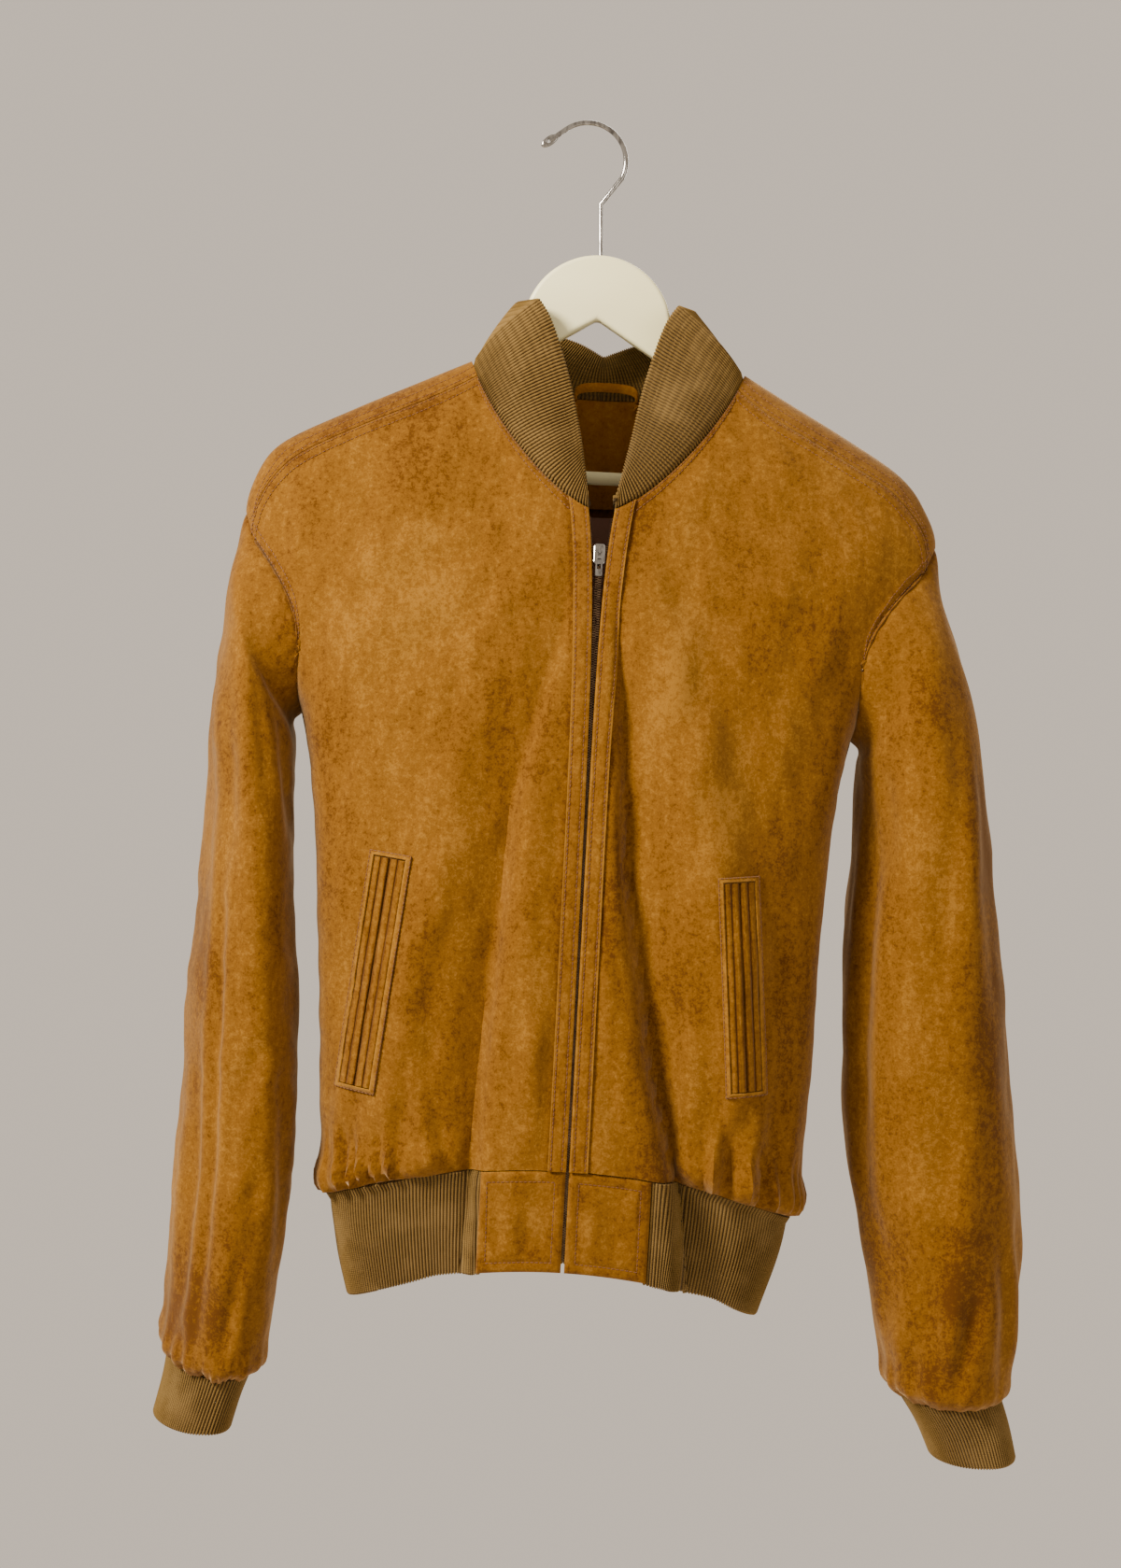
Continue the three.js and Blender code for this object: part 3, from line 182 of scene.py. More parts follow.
# A crease: its two ends, its width, and its depth (less than 0 goes in).
def crease_rise(creases, across, down, turn=None):
    rise = np.zeros_like(across)
    for x0, z0, x1, z1, width, depth in creases:
        length = math.hypot(x1 - x0, z1 - z0)
        ux, uz = (x1 - x0) / length, (z1 - z0) / length
        dx = across - x0 if turn is None else (across - x0 + turn / 2) % turn - turn / 2
        along = (dx * ux + (down - z0) * uz) / length
        bow = 0.6 * np.sin(3.1 * along + x0)
        away = (dx * uz - (down - z0) * ux) / width + bow
        lips = 0.42 * np.exp(-1.3 * (np.abs(away) - 1.9) ** 2)
        ends = np.sin(math.pi * np.clip(along, 0, 1)) ** 0.8
        rise += depth * ends * (np.exp(-away * away) - lips)
    return rise


# %% Cloth is never quite flat: slow swells from a few crossing waves
def swell(x, z, size, seed):
    draw = np.random.default_rng(seed)
    total = np.zeros_like(x)
    for _ in range(14):
        heading, phase, stretch = draw.uniform(0, math.tau), draw.uniform(0, math.tau), draw.uniform(0.6, 1.7)
        wave = math.tau / (size * stretch)
        total += np.sin(wave * (x * math.cos(heading) + z * math.sin(heading) * 0.6) + phase)
    return total / 3.7


# %% [markdown]
# ## The body of the jacket
# Each level section is a rounded box: wide, flat in front and behind, tucked in at the side seams. The waist
# rib pulls it in. A point is found from its angle round the body, 0 at the zip and 90 at the right seam.

# %% A point on the body
FOLD_DEPTH = 1.15
HEM = {"centre": -642, "side": -676, "back": -660, "rib": 70, "pull": 0.045}


def hem_z(angle):
    middle = np.where(np.abs(angle) < 90, HEM["centre"], HEM["back"])
    return lerp(middle, HEM["side"], np.sin(np.radians(angle)) ** 2)


def body_point(angle, z):
    angle, z = np.broadcast_arrays(np.asarray(angle, float), np.asarray(z, float))
    turn = (angle + 180) % 360 - 180
    in_front = np.abs(turn) < 90
    ratio = np.sin(np.radians(turn))
    square = section(z, SQUARE)
    share = np.maximum(0, 1 - np.abs(ratio) ** square) ** (1 / square)
    tuck = section(z, TUCK) * bell(np.abs(turn) - 90, 16)
    on_rib = smooth(np.abs(turn), 24, 40) * smooth(hem_z(turn) + 5 - z, 0, 9)
    narrow = 1 - HEM["pull"] * on_rib
    x = section(z, MIDDLE) + (section(z, HALF) * narrow - tuck) * ratio
    depth = np.where(in_front, -section(z, FRONT), section(z, BEHIND))
    rise = np.where(in_front, -fold_rise(FRONT_FOLDS, x, z), fold_rise(BACK_FOLDS, x, z)) * share * FOLD_DEPTH
    return np.stack([x, depth * narrow * share + rise, z], -1)


def front_angle(x, z):
    return np.degrees(np.arcsin(np.clip((x - section(z, MIDDLE)) / section(z, HALF), -1, 1)))


print("centre front at the chest, mm:", body_point(0, -300).round(1))

# %% [markdown]
# ## Seam lines
# The neck, the shoulder seams and the armholes are lines drawn on that body. The panels, the collar and the
# sleeves are all cut to the same lines, so they meet.

# %% Neck, shoulder and armhole
NECK = {"half": 97, "ridge": -80, "drop": 107, "back": -96, "front_half": 9.1, "bow": 1.3, "middle": 9.5}
NECK_STEP = 0.84  # where the shoulder seam meets the neck
ARM = {"top": -196, "pit": -335, "front": -26, "back": 22, "first": 1 / 9}
BODY_HALF_TOP = float(section(-196.0, HALF))


def neck_place(side, along):
    along = np.asarray(along, float)
    turn = np.radians(90 * np.minimum(along, 1))
    half = lerp(NECK["front_half"], NECK["half"], np.sin(turn) ** (2 / NECK["bow"]))
    z = NECK["ridge"] - NECK["drop"] * np.maximum(np.cos(turn), 0) ** (2 / NECK["bow"])
    ahead = front_angle(NECK["middle"] + side * np.where(along < 1, half, 2 * half), z)
    past = np.radians(90 * np.clip(along - 1, 0, 1))
    z_back = lerp(NECK["ridge"], NECK["back"], np.sin(past) ** 1.2)
    half_back = NECK["half"] * np.maximum(np.cos(past), 0) ** 0.9
    behind = side * (180 - np.degrees(np.arcsin(np.clip(half_back / section(z_back, HALF), 0, 1))))
    return np.where(along <= 1, ahead, behind), np.where(along <= 1, z, z_back)


def armhole_place(side, face, along):
    along = np.asarray(along, float)
    away = ARM[face] * np.maximum(0, np.sin(math.pi * along)) ** 0.75
    return side * (90 + away), lerp(ARM["top"], ARM["pit"], along)


def ridge_z(half):
    heights = np.linspace(-80, -196, 600)
    return np.interp(half, section(heights, HALF), heights)


def shoulder_seam(side, along):
    along = np.asarray(along, float)
    start, end = neck_place(side, NECK_STEP), armhole_place(side, "front", ARM["first"])
    half = lerp(NECK["half"], BODY_HALF_TOP, along)
    z = ridge_z(half) - lerp(17, 15, along)
    angle = np.degrees(np.arcsin(np.clip((half - lerp(7, 6, along)) / section(z, HALF), 0, 1)))
    near_neck, near_arm = 1 - smooth(along, 0, 0.25), smooth(along, 0.8, 1)
    angle = lerp(lerp(angle, abs(start[0]), near_neck), abs(end[0]), near_arm)
    return side * angle, lerp(lerp(z, start[1], near_neck), end[1], near_arm)


# %% [markdown]
# ## Filling a panel between its seams
# A panel is a net of points between four seam lines. It is mixed by distance across and height, so that its
# columns run straight down, as the grain of a cut panel does. The net is finest beside stitched seams.

# %% A panel's net
ARM_SHARE = 0.3  # of a panel's length, what lies beside the armhole


def on_sheet(place):
    angle, z = place
    across = section(z, MIDDLE) + section(z, HALF) * np.sin(np.radians(angle))
    return np.stack(np.broadcast_arrays(across, z), -1)


def patch(top, foot, start, end, across, down):
    u, v = across[None, :, None], down[:, None, None]
    rows = lerp(on_sheet(top(across))[None], on_sheet(foot(across))[None], v)
    first = lerp(on_sheet(top(across[:1])), on_sheet(foot(across[:1])), v[:, 0])
    final = lerp(on_sheet(top(across[-1:])), on_sheet(foot(across[-1:])), v[:, 0])
    to_first, to_final = on_sheet(start(down)) - first, on_sheet(end(down)) - final
    rows = rows + to_first[:, None] * (1 - u) + to_final[:, None] * u
    return front_angle(rows[..., 0], rows[..., 1]), rows[..., 1]


def panel_side(side, face, begin):
    def place(v):
        beside = armhole_place(side, face, lerp(begin, 1, np.minimum(v / ARM_SHARE, 1)))
        below = np.maximum((v - ARM_SHARE) / (1 - ARM_SHARE), 0)
        on_arm = v < ARM_SHARE
        return (np.where(on_arm, beside[0], side * 90.0),
                np.where(on_arm, beside[1], lerp(ARM["pit"], HEM["side"], below)))
    return place


def stations(length, fine_start=0.0, fine_end=0.0, fine=0.9, coarse=2.8):
    start = np.arange(0, fine_start, fine)
    end = length - np.arange(0, fine_end, fine)[::-1] if fine_end else np.array([length])
    middle = np.linspace(fine_start, end[0], max(2, round((end[0] - fine_start) / coarse)) + 1)[:-1]
    return np.concatenate([start, middle, end]) / length


def toward_edge(count, power=2.2):
    return 1 - (1 - np.linspace(0, 1, count + 1)) ** power


# %% Measuring on a net: lengths, normals and lines a set distance in from an edge
def run_lengths(points, axis):
    step = np.linalg.norm(np.diff(points, axis=axis), axis=-1)
    return np.concatenate([np.zeros_like(np.take(step, [0], axis)), np.cumsum(step, axis)], axis)


def net_normals(points, closed=False):
    if closed:
        wide = np.concatenate([points[:, -2:-1], points, points[:, 1:2]], 1)
        across = wide[:, 2:] - wide[:, :-2]
    else:
        across = np.gradient(points, axis=1)
    return unit(np.cross(np.gradient(points, axis=0), across))


def net_area(points):
    a, b, c, d = points[:-1, :-1], points[:-1, 1:], points[1:, :-1], points[1:, 1:]
    halves = np.cross(b - a, c - a), np.cross(c - d, b - d)
    return sum(np.linalg.norm(h, axis=-1).sum() for h in halves) / 2 * MM * MM


def from_edge(points, edge):
    axis = 0 if edge in ("top", "foot") else 1
    run = run_lengths(points, axis)
    return run if edge in ("top", "start") else np.take(run, [-1], axis) - run


def line_in(points, edge, distance, normals):
    """Points and normals along an edge, a distance in from it."""
    run = from_edge(points, edge)
    if edge in ("top", "foot"):
        run, points, normals = run.T, points.swapaxes(0, 1), normals.swapaxes(0, 1)
    if edge in ("foot", "end"):
        run, points, normals = run[:, ::-1], points[:, ::-1], normals[:, ::-1]
    found = []
    for lengths, places, facing in zip(run, points, normals):
        k = min(max(int(np.searchsorted(lengths, distance)), 1), len(lengths) - 1)
        t = (distance - lengths[k - 1]) / max(lengths[k] - lengths[k - 1], 1e-6)
        t = min(max(t, 0), 1)
        found.append((lerp(places[k - 1], places[k], t), lerp(facing[k - 1], facing[k], t)))
    return np.array([f[0] for f in found]), unit(np.array([f[1] for f in found]))


# %% [markdown]
# ## From a net to a piece of cloth
# Blender's grid primitive gives the faces and the UV map. Its points are then set to the net's places and
# its UVs to the flat cut's sizes. Solidify gives the cloth its thickness inwards, so the net stays the face
# that shows. A tube's two long edges are merged where its seam is.

# %% Making cloth
def deselect_all():
    if bpy.context.object and bpy.context.object.mode != "OBJECT":
        bpy.ops.object.mode_set(mode="OBJECT")
    bpy.ops.object.select_all(action="DESELECT")


def apply_modifier(piece, kind, **settings):
    deselect_all()
    bpy.context.view_layer.objects.active = piece
    piece.select_set(True)
    bpy.ops.object.modifier_add(type=kind)
    modifier = piece.modifiers[-1]
    for key, value in settings.items():
        setattr(modifier, key, value)
    bpy.ops.object.modifier_apply(modifier=modifier.name)


def net_to_mesh(name, points, shade=None, uv=None):
    rows, columns = points.shape[:2]
    deselect_all()
    bpy.ops.mesh.primitive_grid_add(x_subdivisions=columns - 1, y_subdivisions=rows - 1, size=1)
    piece = bpy.context.object
    piece.name = piece.data.name = name
    mesh = piece.data
    assert len(mesh.vertices) == rows * columns, (name, len(mesh.vertices), rows, columns)
    mesh.vertices.foreach_set("co", hung(points[::-1]).astype(np.float32).ravel())
    if uv is None:
        uv = np.stack([run_lengths(points, 1), run_lengths(points, 0)], -1) * MM
    corners = np.zeros(len(mesh.loops), np.int32)
    mesh.loops.foreach_get("vertex_index", corners)
    mesh.uv_layers.active.data.foreach_set("uv", uv[::-1].reshape(-1, 2)[corners].astype(np.float32).ravel())
    # The attribute holds each point's tone: stains and rubbed nap, and also painted highlights and painted
    # shade.
    nap_and_painted_light = mesh.attributes.new("nap_and_painted_light", "FLOAT", "POINT")
    tone = np.zeros(rows * columns) if shade is None else shade[::-1].ravel()
    nap_and_painted_light.data.foreach_set("value", tone.astype(np.float32))
    mesh.update()
    return piece


def edit(piece, *steps):
    deselect_all()
    bpy.context.view_layer.objects.active = piece
    piece.select_set(True)
    bpy.ops.object.mode_set(mode="EDIT")
    bpy.ops.mesh.select_mode(type="VERT")
    bpy.ops.mesh.select_all(action="SELECT")
    for step in steps:
        step()
    bpy.ops.object.mode_set(mode="OBJECT")


def weld():
    bpy.ops.mesh.remove_doubles(threshold=0.00002)


def shade(piece, degrees=50):
    deselect_all()
    bpy.context.view_layer.objects.active = piece
    piece.select_set(True)
    bpy.ops.object.shade_smooth_by_angle(angle=math.radians(degrees))


def declare(plain):
    flat = [max(math.ceil(run_lengths(plain, axis).max() + 0.5), 10) / 1000 for axis in (1, 0)]


def cloth(name, points, thickness, tone=None, closed=False, more=()):
    piece = net_to_mesh(name, points, tone)
    others = [net_to_mesh(f"{name}_strip", *strip) for strip in more]
    if others:
        deselect_all()
        for other in others:
            other.select_set(True)
        piece.select_set(True)
        bpy.context.view_layer.objects.active = piece
        bpy.ops.object.join()
    if closed or others:
        edit(piece, weld)
    apply_modifier(piece, "SOLIDIFY", thickness=thickness * MM, offset=-1)
    shade(piece)
    print(f"{name}: {len(piece.data.polygons)} faces, cloth area {net_area(points):.4f} m2")
    return piece


def settle(piece, finish, slot, *nodes, body="jacket"):
    piece.data.materials.clear()
    piece.data.materials.append(finish)
    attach(piece, body)
    if nodes:
        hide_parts(*nodes)
    return piece


# %% [markdown]
# ## The finishes: suede first
# Suede is the flesh side of a skin, brushed to a short nap. The nap lies different ways, so it shows patches
# with soft and hard edges, streaks where the skin hangs, and a fine grain of cut fibres. Principled with
# sheen gives the glow of fibres at grazing angles. Noise at four sizes gives the patches, and an attribute
# painted on each net adds rubbed nap and stains, and also painted highlights and painted shade.

# %% Small helpers for shader nodes
def new_finish(name, roughness, **sockets):
    material = bpy.data.materials.new(name)
    material.use_nodes = True
    tree = material.node_tree
    tree.nodes.clear()
    shader = tree.nodes.new("ShaderNodeBsdfPrincipled")
    output = tree.nodes.new("ShaderNodeOutputMaterial")
    tree.links.new(shader.outputs["BSDF"], output.inputs["Surface"])
    shader.inputs["Roughness"].default_value = roughness
    for socket, value in sockets.items():
        shader.inputs[socket.replace("_", " ")].default_value = value
    return material, tree, shader


def join(tree, socket, value):
    if isinstance(value, bpy.types.NodeSocket):
        tree.links.new(value, socket)
    else:
        socket.default_value = value


def add(tree, kind, inputs=None, output=0, **settings):
    node = tree.nodes.new("ShaderNode" + kind)
    for key, value in settings.items():
        setattr(node, key, value)
    for key, value in (inputs or {}).items():
        join(tree, node.inputs[key], value)
    return node.outputs[output]


def places(tree, stretch=(1, 1, 1), source="Object"):
    coordinates = tree.nodes.new("ShaderNodeTexCoord").outputs[source]
    return add(tree, "Mapping", {"Vector": coordinates, "Scale": stretch})


def noise(tree, vector, scale, detail=3.0, roughness=0.55, distortion=0.0):
    sizes = {"Vector": vector, "Scale": scale, "Detail": detail,
             "Roughness": roughness, "Distortion": distortion}
    return add(tree, "TexNoise", sizes)


def span(tree, value, low, high, to_low=0.0, to_high=1.0):
    ends = {"Value": value, "From Min": low, "From Max": high, "To Min": to_low, "To Max": to_high}
    return add(tree, "MapRange", ends, interpolation_type="SMOOTHSTEP")


def calc(tree, operation, a, b=0.0, c=0.0):
    return add(tree, "Math", {0: a, 1: b, 2: c}, operation=operation)


def mixed(tree, factor, a, b):
    node = tree.nodes.new("ShaderNodeMix")
    node.data_type = "RGBA"
    join(tree, node.inputs[0], factor)
    join(tree, node.inputs[6], a)
    join(tree, node.inputs[7], b)
    return node.outputs[2]


def bump(tree, shader, height, distance, strength):
    normal = add(tree, "Bump", {"Height": height, "Distance": distance, "Strength": strength})
    tree.links.new(normal, shader.inputs["Normal"])


# %% Suede
def suede_finish(name, dark, middle, light, patchiness=1.0, sheen=0.35):
    material, tree, shader = new_finish(name, 0.93, Sheen_Weight=sheen, Sheen_Roughness=0.42,
                                        Sheen_Tint=(1.0, 0.72, 0.42, 1), Specular_IOR_Level=0.12)
    spot = places(tree)
    hanging = places(tree, (1, 1, 0.22))
    # The middle of each noise, and how much of it shows: large soft patches down to a single tuft of nap.
    layers = [
        (noise(tree, spot, 11, 3, 0.5, 0.2), 0.5), (noise(tree, spot, 42, 4, 0.6, 0.5), 0.26),
        (noise(tree, hanging, 95, 4, 0.6, 0.4), 0.75), (noise(tree, spot, 250, 3, 0.65, 0.3), 1.25),
        (noise(tree, spot, 760, 2, 0.7), 0.9),
    ]
    grain, fibre = layers[3][0], noise(tree, spot, 1900, 2, 0.6)
    # The painted tone adds stains and rubbed nap, and painted highlights and painted shade, to the noise.
    painted = add(tree, "Attribute", {}, 2, attribute_name="nap_and_painted_light")
    tone = 0.5 - sum(amount for _, amount in layers) / 2 * patchiness
    for layer, amount in layers:
        tone = calc(tree, "MULTIPLY_ADD", layer, amount * patchiness, tone)
    ragged = calc(tree, "MULTIPLY_ADD", noise(tree, spot, 75, 6, 0.7, 0.6), 0.9, 0.55)
    tone = calc(tree, "MULTIPLY_ADD", painted, ragged, tone)
    colour = mixed(tree, span(tree, tone, 0.02, 0.52), dark, middle)
    colour = mixed(tree, span(tree, tone, 0.48, 0.98), colour, light)
    tree.links.new(colour, shader.inputs["Base Color"])
    height = calc(tree, "MULTIPLY_ADD", fibre, 0.5, grain)
    bump(tree, shader, height, 0.0006, 0.55)
    return material


suede = suede_finish("golden_brown_suede", (0.085, 0.027, 0.001, 1), (0.172, 0.068, 0.004, 1),
                     (0.262, 0.118, 0.013, 1))
print("suede nodes:", len(suede.node_tree.nodes))

# %% Rib knit: ribs are in the mesh, the loops of each rib are in the bump
RIB_PITCH = 2.35
LOOP_HEIGHT = 1.25


def rib_finish(name, groove_shade, crown, worn):
    material, tree, shader = new_finish(name, 0.9, Sheen_Weight=0.1, Sheen_Roughness=0.5,
                                        Sheen_Tint=(0.9, 0.75, 0.5, 1), Specular_IOR_Level=0.1)
    flat = add(tree, "SeparateXYZ", {"Vector": tree.nodes.new("ShaderNodeTexCoord").outputs["UV"]})
    across, along = flat.node.outputs[0], flat.node.outputs[1]
    turn = calc(tree, "MULTIPLY", across, math.tau / (RIB_PITCH * MM))
    rib = calc(tree, "MULTIPLY_ADD", calc(tree, "COSINE", turn), 0.5, 0.5)
    up_the_rib = calc(tree, "MULTIPLY", along, math.tau / (LOOP_HEIGHT * MM))
    lean = calc(tree, "MULTIPLY_ADD", calc(tree, "SINE", turn), 0.9, up_the_rib)
    loops = calc(tree, "MULTIPLY_ADD", calc(tree, "SINE", lean), 0.5, 0.5)
    cloudy = noise(tree, places(tree), 24, 4, 0.6)
    fuzz = noise(tree, places(tree), 1300, 2, 0.6)
    # Painted shade: the grooves between ribs and the dips between loops are mixed towards the dark groove
    # colour; the worn colour gives paler patches and fuzz.
    colour = mixed(tree, span(tree, rib, 0.15, 0.75), groove_shade, crown)
    colour = mixed(tree, calc(tree, "MULTIPLY", span(tree, cloudy, 0.42, 0.68), 0.45), colour, worn)
    colour = mixed(tree, calc(tree, "MULTIPLY", span(tree, loops, 0.0, 0.45, 1, 0), 0.35), colour, groove_shade)
    colour = mixed(tree, span(tree, fuzz, 0.3, 0.7, 0.0, 0.3), colour, worn)
    tree.links.new(colour, shader.inputs["Base Color"])
    height = calc(tree, "MULTIPLY_ADD", loops, 0.7, calc(tree, "MULTIPLY", fuzz, 0.5))
    bump(tree, shader, height, 0.0004, 0.6)
    return material


rib_knit = rib_finish("olive_rib_knit", (0.022, 0.009, 0.001, 1), (0.150, 0.084, 0.017, 1),
                      (0.26, 0.160, 0.052, 1))

# %% [markdown]
# ## The two front panels
# A front runs from the zip to the armhole and side seam, and from the neck and shoulder seam to the waist.
# A neckline pulled by the weight of the fronts gives long drag folds from the zip. Above the waist rib the
# suede is gathered, so it puckers and hangs over. The creases are placed one by one.

# %% Creases of the fronts: from (across, up) to (across, up), width, depth
FRONT_CREASES = [
    (-38, -300, -92, -430, 13, -2.2), (-60, -262, -150, -330, 12, -1.4), (-90, -232, -176, -262, 11, -1.2),
    (-22, -228, -84, -300, 9, 1.2), (-118, -420, -150, -560, 15, -2.0), (-78, -470, -92, -610, 10, -2.4),
    (-112, -560, -100, -668, 8, -3.2), (-134, -596, -146, -672, 7, -3.4), (-84, -590, -66, -664, 7, -2.6),
    (-158, -570, -164, -676, 8, -2.6), (-120, -610, -128, -674, 5, -2.2), (-98, -620, -88, -668, 4, -2.0),
    (-150, -622, -138, -676, 4, -2.2), (-30, -470, -34, -628, 9, -2.2), (-14, -520, -18, -636, 6, 1.6),
    (40, -262, 72, -330, 8, -1.5), (66, -320, 108, -420, 10, -1.8), (96, -300, 150, -420, 14, -1.6),
    (60, -240, 150, -270, 12, -1.2), (84, -222, 168, -214, 10, -1.0), (104, -480, 112, -600, 9, -2.2),
    (132, -430, 150, -560, 12, -1.8), (100, -560, 118, -664, 8, -3.8), (128, -590, 124, -668, 6, -3.0),
    (146, -580, 156, -674, 7, -3.0), (112, -600, 106, -660, 5, 2.8), (138, -620, 146, -674, 4, -2.2),
    (84, -590, 100, -650, 6, 3.4), (20, -400, 30, -560, 8, 1.8), (36, -520, 60, -630, 8, 2.2),
    (14, -500, 20, -630, 6, -1.6), (48, -560, 72, -640, 6, -1.8), (-180, -300, -176, -430, 12, 1.6),
    (176, -300, 168, -430, 12, 1.6), (-70, -200, -150, -196, 9, -0.9), (-44, -212, -120, -222, 8, -0.8),
    (58, -196, 120, -186, 8, -0.8), (-186, -250, -170, -330, 9, -1.5), (190, -250, 176, -330, 9, -1.5),
]
STITCH_ROWS = (3.0, 9.6)  # a topstitched seam has two rows of stitches


def seam_relief(distance, rows=STITCH_ROWS):
    """A seam rolls in at its line, stands up over its allowance and is pulled in at each row of stitches."""
    height = 0.75 * (1 - smooth(distance, rows[-1] - 1, rows[-1] + 3)) - 1.3 * bell(distance, 0.9)
    for row in rows:
        height = height - 0.55 * bell(distance - row, 0.9)
    return height


def pucker(run, distance, seed):
    """Small ripples along a line of stitches."""
    wave = np.sin(run * math.tau / 7.3 + 1.7 * np.sin(run / 23 + seed))
    wave = wave * (0.6 + 0.4 * np.sin(run / 11 + 2 * seed))
    return 0.28 * wave * bell(distance - 6, 8)


def gathers(run, distance, seed, reach=56, size=15, depth=3.6):
    """Uneven pleats that start at a gathered seam and die away from it."""
    wander = 3.1 * np.sin(run / 31 + seed) + 1.9 * np.sin(run / 13.7 + 2.3 * seed)
    wave = np.sin((run + 2.2 * wander) * math.tau / size)
    wave = wave + 0.5 * np.sin((run - wander) * math.tau / (size * 0.61))
    strength = (0.65 + 0.35 * np.sin(run / 19 + 1.3 * seed)) * np.clip(1 - distance / reach, 0, 1) ** 1.4
    return depth * wave * strength


# %% The fronts' nets
PLACKET_AT, NECK_END = 0.2, 0.5
ZIP = {"x": 9.5, "rest": 0.9, "top": 8.2, "fade": 55, "behind": 2.6}
PLACKET = {"width": 13}
OVER_SHOULDER = toward_edge(58)


def zip_gap(z):
    return ZIP["rest"] + ZIP["top"] * np.exp((z - NECK["ridge"] + NECK["drop"]) / ZIP["fade"])


def beside_zip(side, gap, z):
    return front_angle(ZIP["x"] + side * (zip_gap(z) + gap), z), z


def front_places(side):
    def height(v):
        return lerp(NECK["ridge"] - NECK["drop"], HEM["centre"], v)

    def top(u):
        neck = neck_place(side, lerp(PLACKET_AT, NECK_STEP, np.minimum(u / NECK_END, 1)))
        shoulder = shoulder_seam(side, np.maximum((u - NECK_END) / (1 - NECK_END), 0))
        return np.where(u < NECK_END, neck[0], shoulder[0]), np.where(u < NECK_END, neck[1], shoulder[1])

    corner = top(np.array([0.0]))
    corner_z = beside_zip(side, PLACKET["width"], height(0.0))[1]
    corner_angle = beside_zip(side, PLACKET["width"], corner[1])[0]

    def start(v):
        rest = (1 - v) ** 3
        angle, z = beside_zip(side, PLACKET["width"], height(v) + (corner[1] - corner_z) * rest)
        return angle + (corner[0] - corner_angle) * rest, z

    foot_start = float(start(np.array([1.0]))[0][0])

    def foot(u):
        angle = lerp(foot_start, side * 90, u)
        return angle, hem_z(angle)

    down = stations(500, fine_start=13, fine_end=0)
    neck_columns = np.linspace(0, NECK_END, 32)[:-1]
    across = np.concatenate([neck_columns, lerp(NECK_END, 1, OVER_SHOULDER)])
    angle, z = patch(top, foot, start, panel_side(side, "front", ARM["first"]), across, down)
    edge_angle, edge_z = beside_zip(side, 0, height(down))
    t = np.linspace(0, 1, 7)[:-1]
    strip_angle = lerp(edge_angle[:, None], angle[:, :1], t)
    strip_z = lerp(edge_z[:, None], z[:, :1], t)
    seam_angle, seam_z = neck_place(side, PLACKET_AT * t)
    fade = (1 - down[:, None]) ** 24
    strip_angle = strip_angle + (seam_angle - strip_angle[0]) * fade
    strip_z = strip_z + (seam_z - strip_z[0]) * fade
    return np.concatenate([strip_angle, angle], 1), np.concatenate([strip_z, z], 1)


def front_net(side):
    points = body_point(*front_places(side))
    if side < 0:
        points = points[:, ::-1]
    return points


def creased_front(side, seed):
    points = front_net(side)
    normals = net_normals(points)
    x, z = points[..., 0], points[..., 2]
    outer = "end" if side > 0 else "start"
    top, foot, edge = from_edge(points, "top"), from_edge(points, "foot"), from_edge(points, outer)
    run_down, run_across = run_lengths(points, 0), run_lengths(points, 1)
    facing = np.clip(-normals[..., 1] * 1.6, 0, 1)
    rise = crease_rise(FRONT_CREASES, x, z) * facing * smooth(foot, 0, 14)
    rise += 0.9 * swell(x, z, 60, seed) * smooth(top, 4, 40) * facing
    rise += 0.35 * swell(x, z, 19, seed + 5) * smooth(top, 4, 20)
    away_from_zip = smooth(np.abs(x - ZIP["x"]), 62, 84)
    rise += gathers(run_across, foot, seed) * away_from_zip * smooth(foot, 0, 3)
    rise += (4.6 * bell(foot - 13, 13) - 1.2 * bell(foot, 3)) * away_from_zip
    rise += seam_relief(top) + pucker(run_across, top, seed)
    on_arm = smooth(z, ARM["pit"] - 5, ARM["pit"] + 25)
    rise += (seam_relief(edge) + pucker(run_down, edge, seed + 3)) * np.maximum(on_arm, 0.35)
    flat_strip = smooth(np.abs(x - ZIP["x"]) - zip_gap(z), PLACKET["width"] - 2, PLACKET["width"] + 7)
    return points, points + normals * (rise * lerp(0.1, 1, flat_strip))[..., None]


def suede_tones(points, seed, highlights_and_rubs=(), shade_and_stains=()):
    """How the nap lies, and painted light: a slow swell of tone, then paler and darker patches for rubbed nap,
    stains, painted highlights and painted shade.
    """
    x, z = points[..., 0], points[..., 2]
    tone = 0.08 * swell(x, z, 90, seed)
    for cx, cz, wide, tall, amount in (*highlights_and_rubs, *shade_and_stains):
        tone = tone + 0.75 * amount * np.exp(-(((x - cx) / wide) ** 2) - (((z - cz) / tall) ** 2))
    return tone


# Paler patches: painted highlights along the fold ridges, which also stand for rubbed nap.
FRONT_HIGHLIGHTS_AND_RUBS = [
    (-120, -300, 60, 80, 0.10), (70, -350, 26, 70, 0.22), (104, -450, 20, 70, 0.2), (-150, -250, 40, 50, 0.08),
    (-26, -560, 14, 70, 0.14), (40, -600, 20, 40, 0.10), (-120, -480, 30, 80, 0.06), (60, -250, 40, 30, 0.08),
]
# Darker patches: painted shade in the fold valleys, at the recessed sides and under the overhang above the
# waist rib, with stains.
FRONT_SHADE_AND_STAINS = [
    (-48, -420, 14, 120, -0.16), (34, -380, 10, 120, -0.24),
    (66, -540, 14, 100, -0.22), (-70, -600, 18, 60, -0.1),
    (150, -560, 30, 90, -0.14), (-176, -480, 14, 160, -0.16),
    (-140, -168, 70, 26, -0.2), (120, -176, 50, 22, -0.08),
    (128, -640, 40, 24, -0.16), (-120, -650, 40, 20, -0.1),
    (172, -400, 16, 120, -0.1), (96, -640, 14, 30, -0.22),
]
fronts = {}
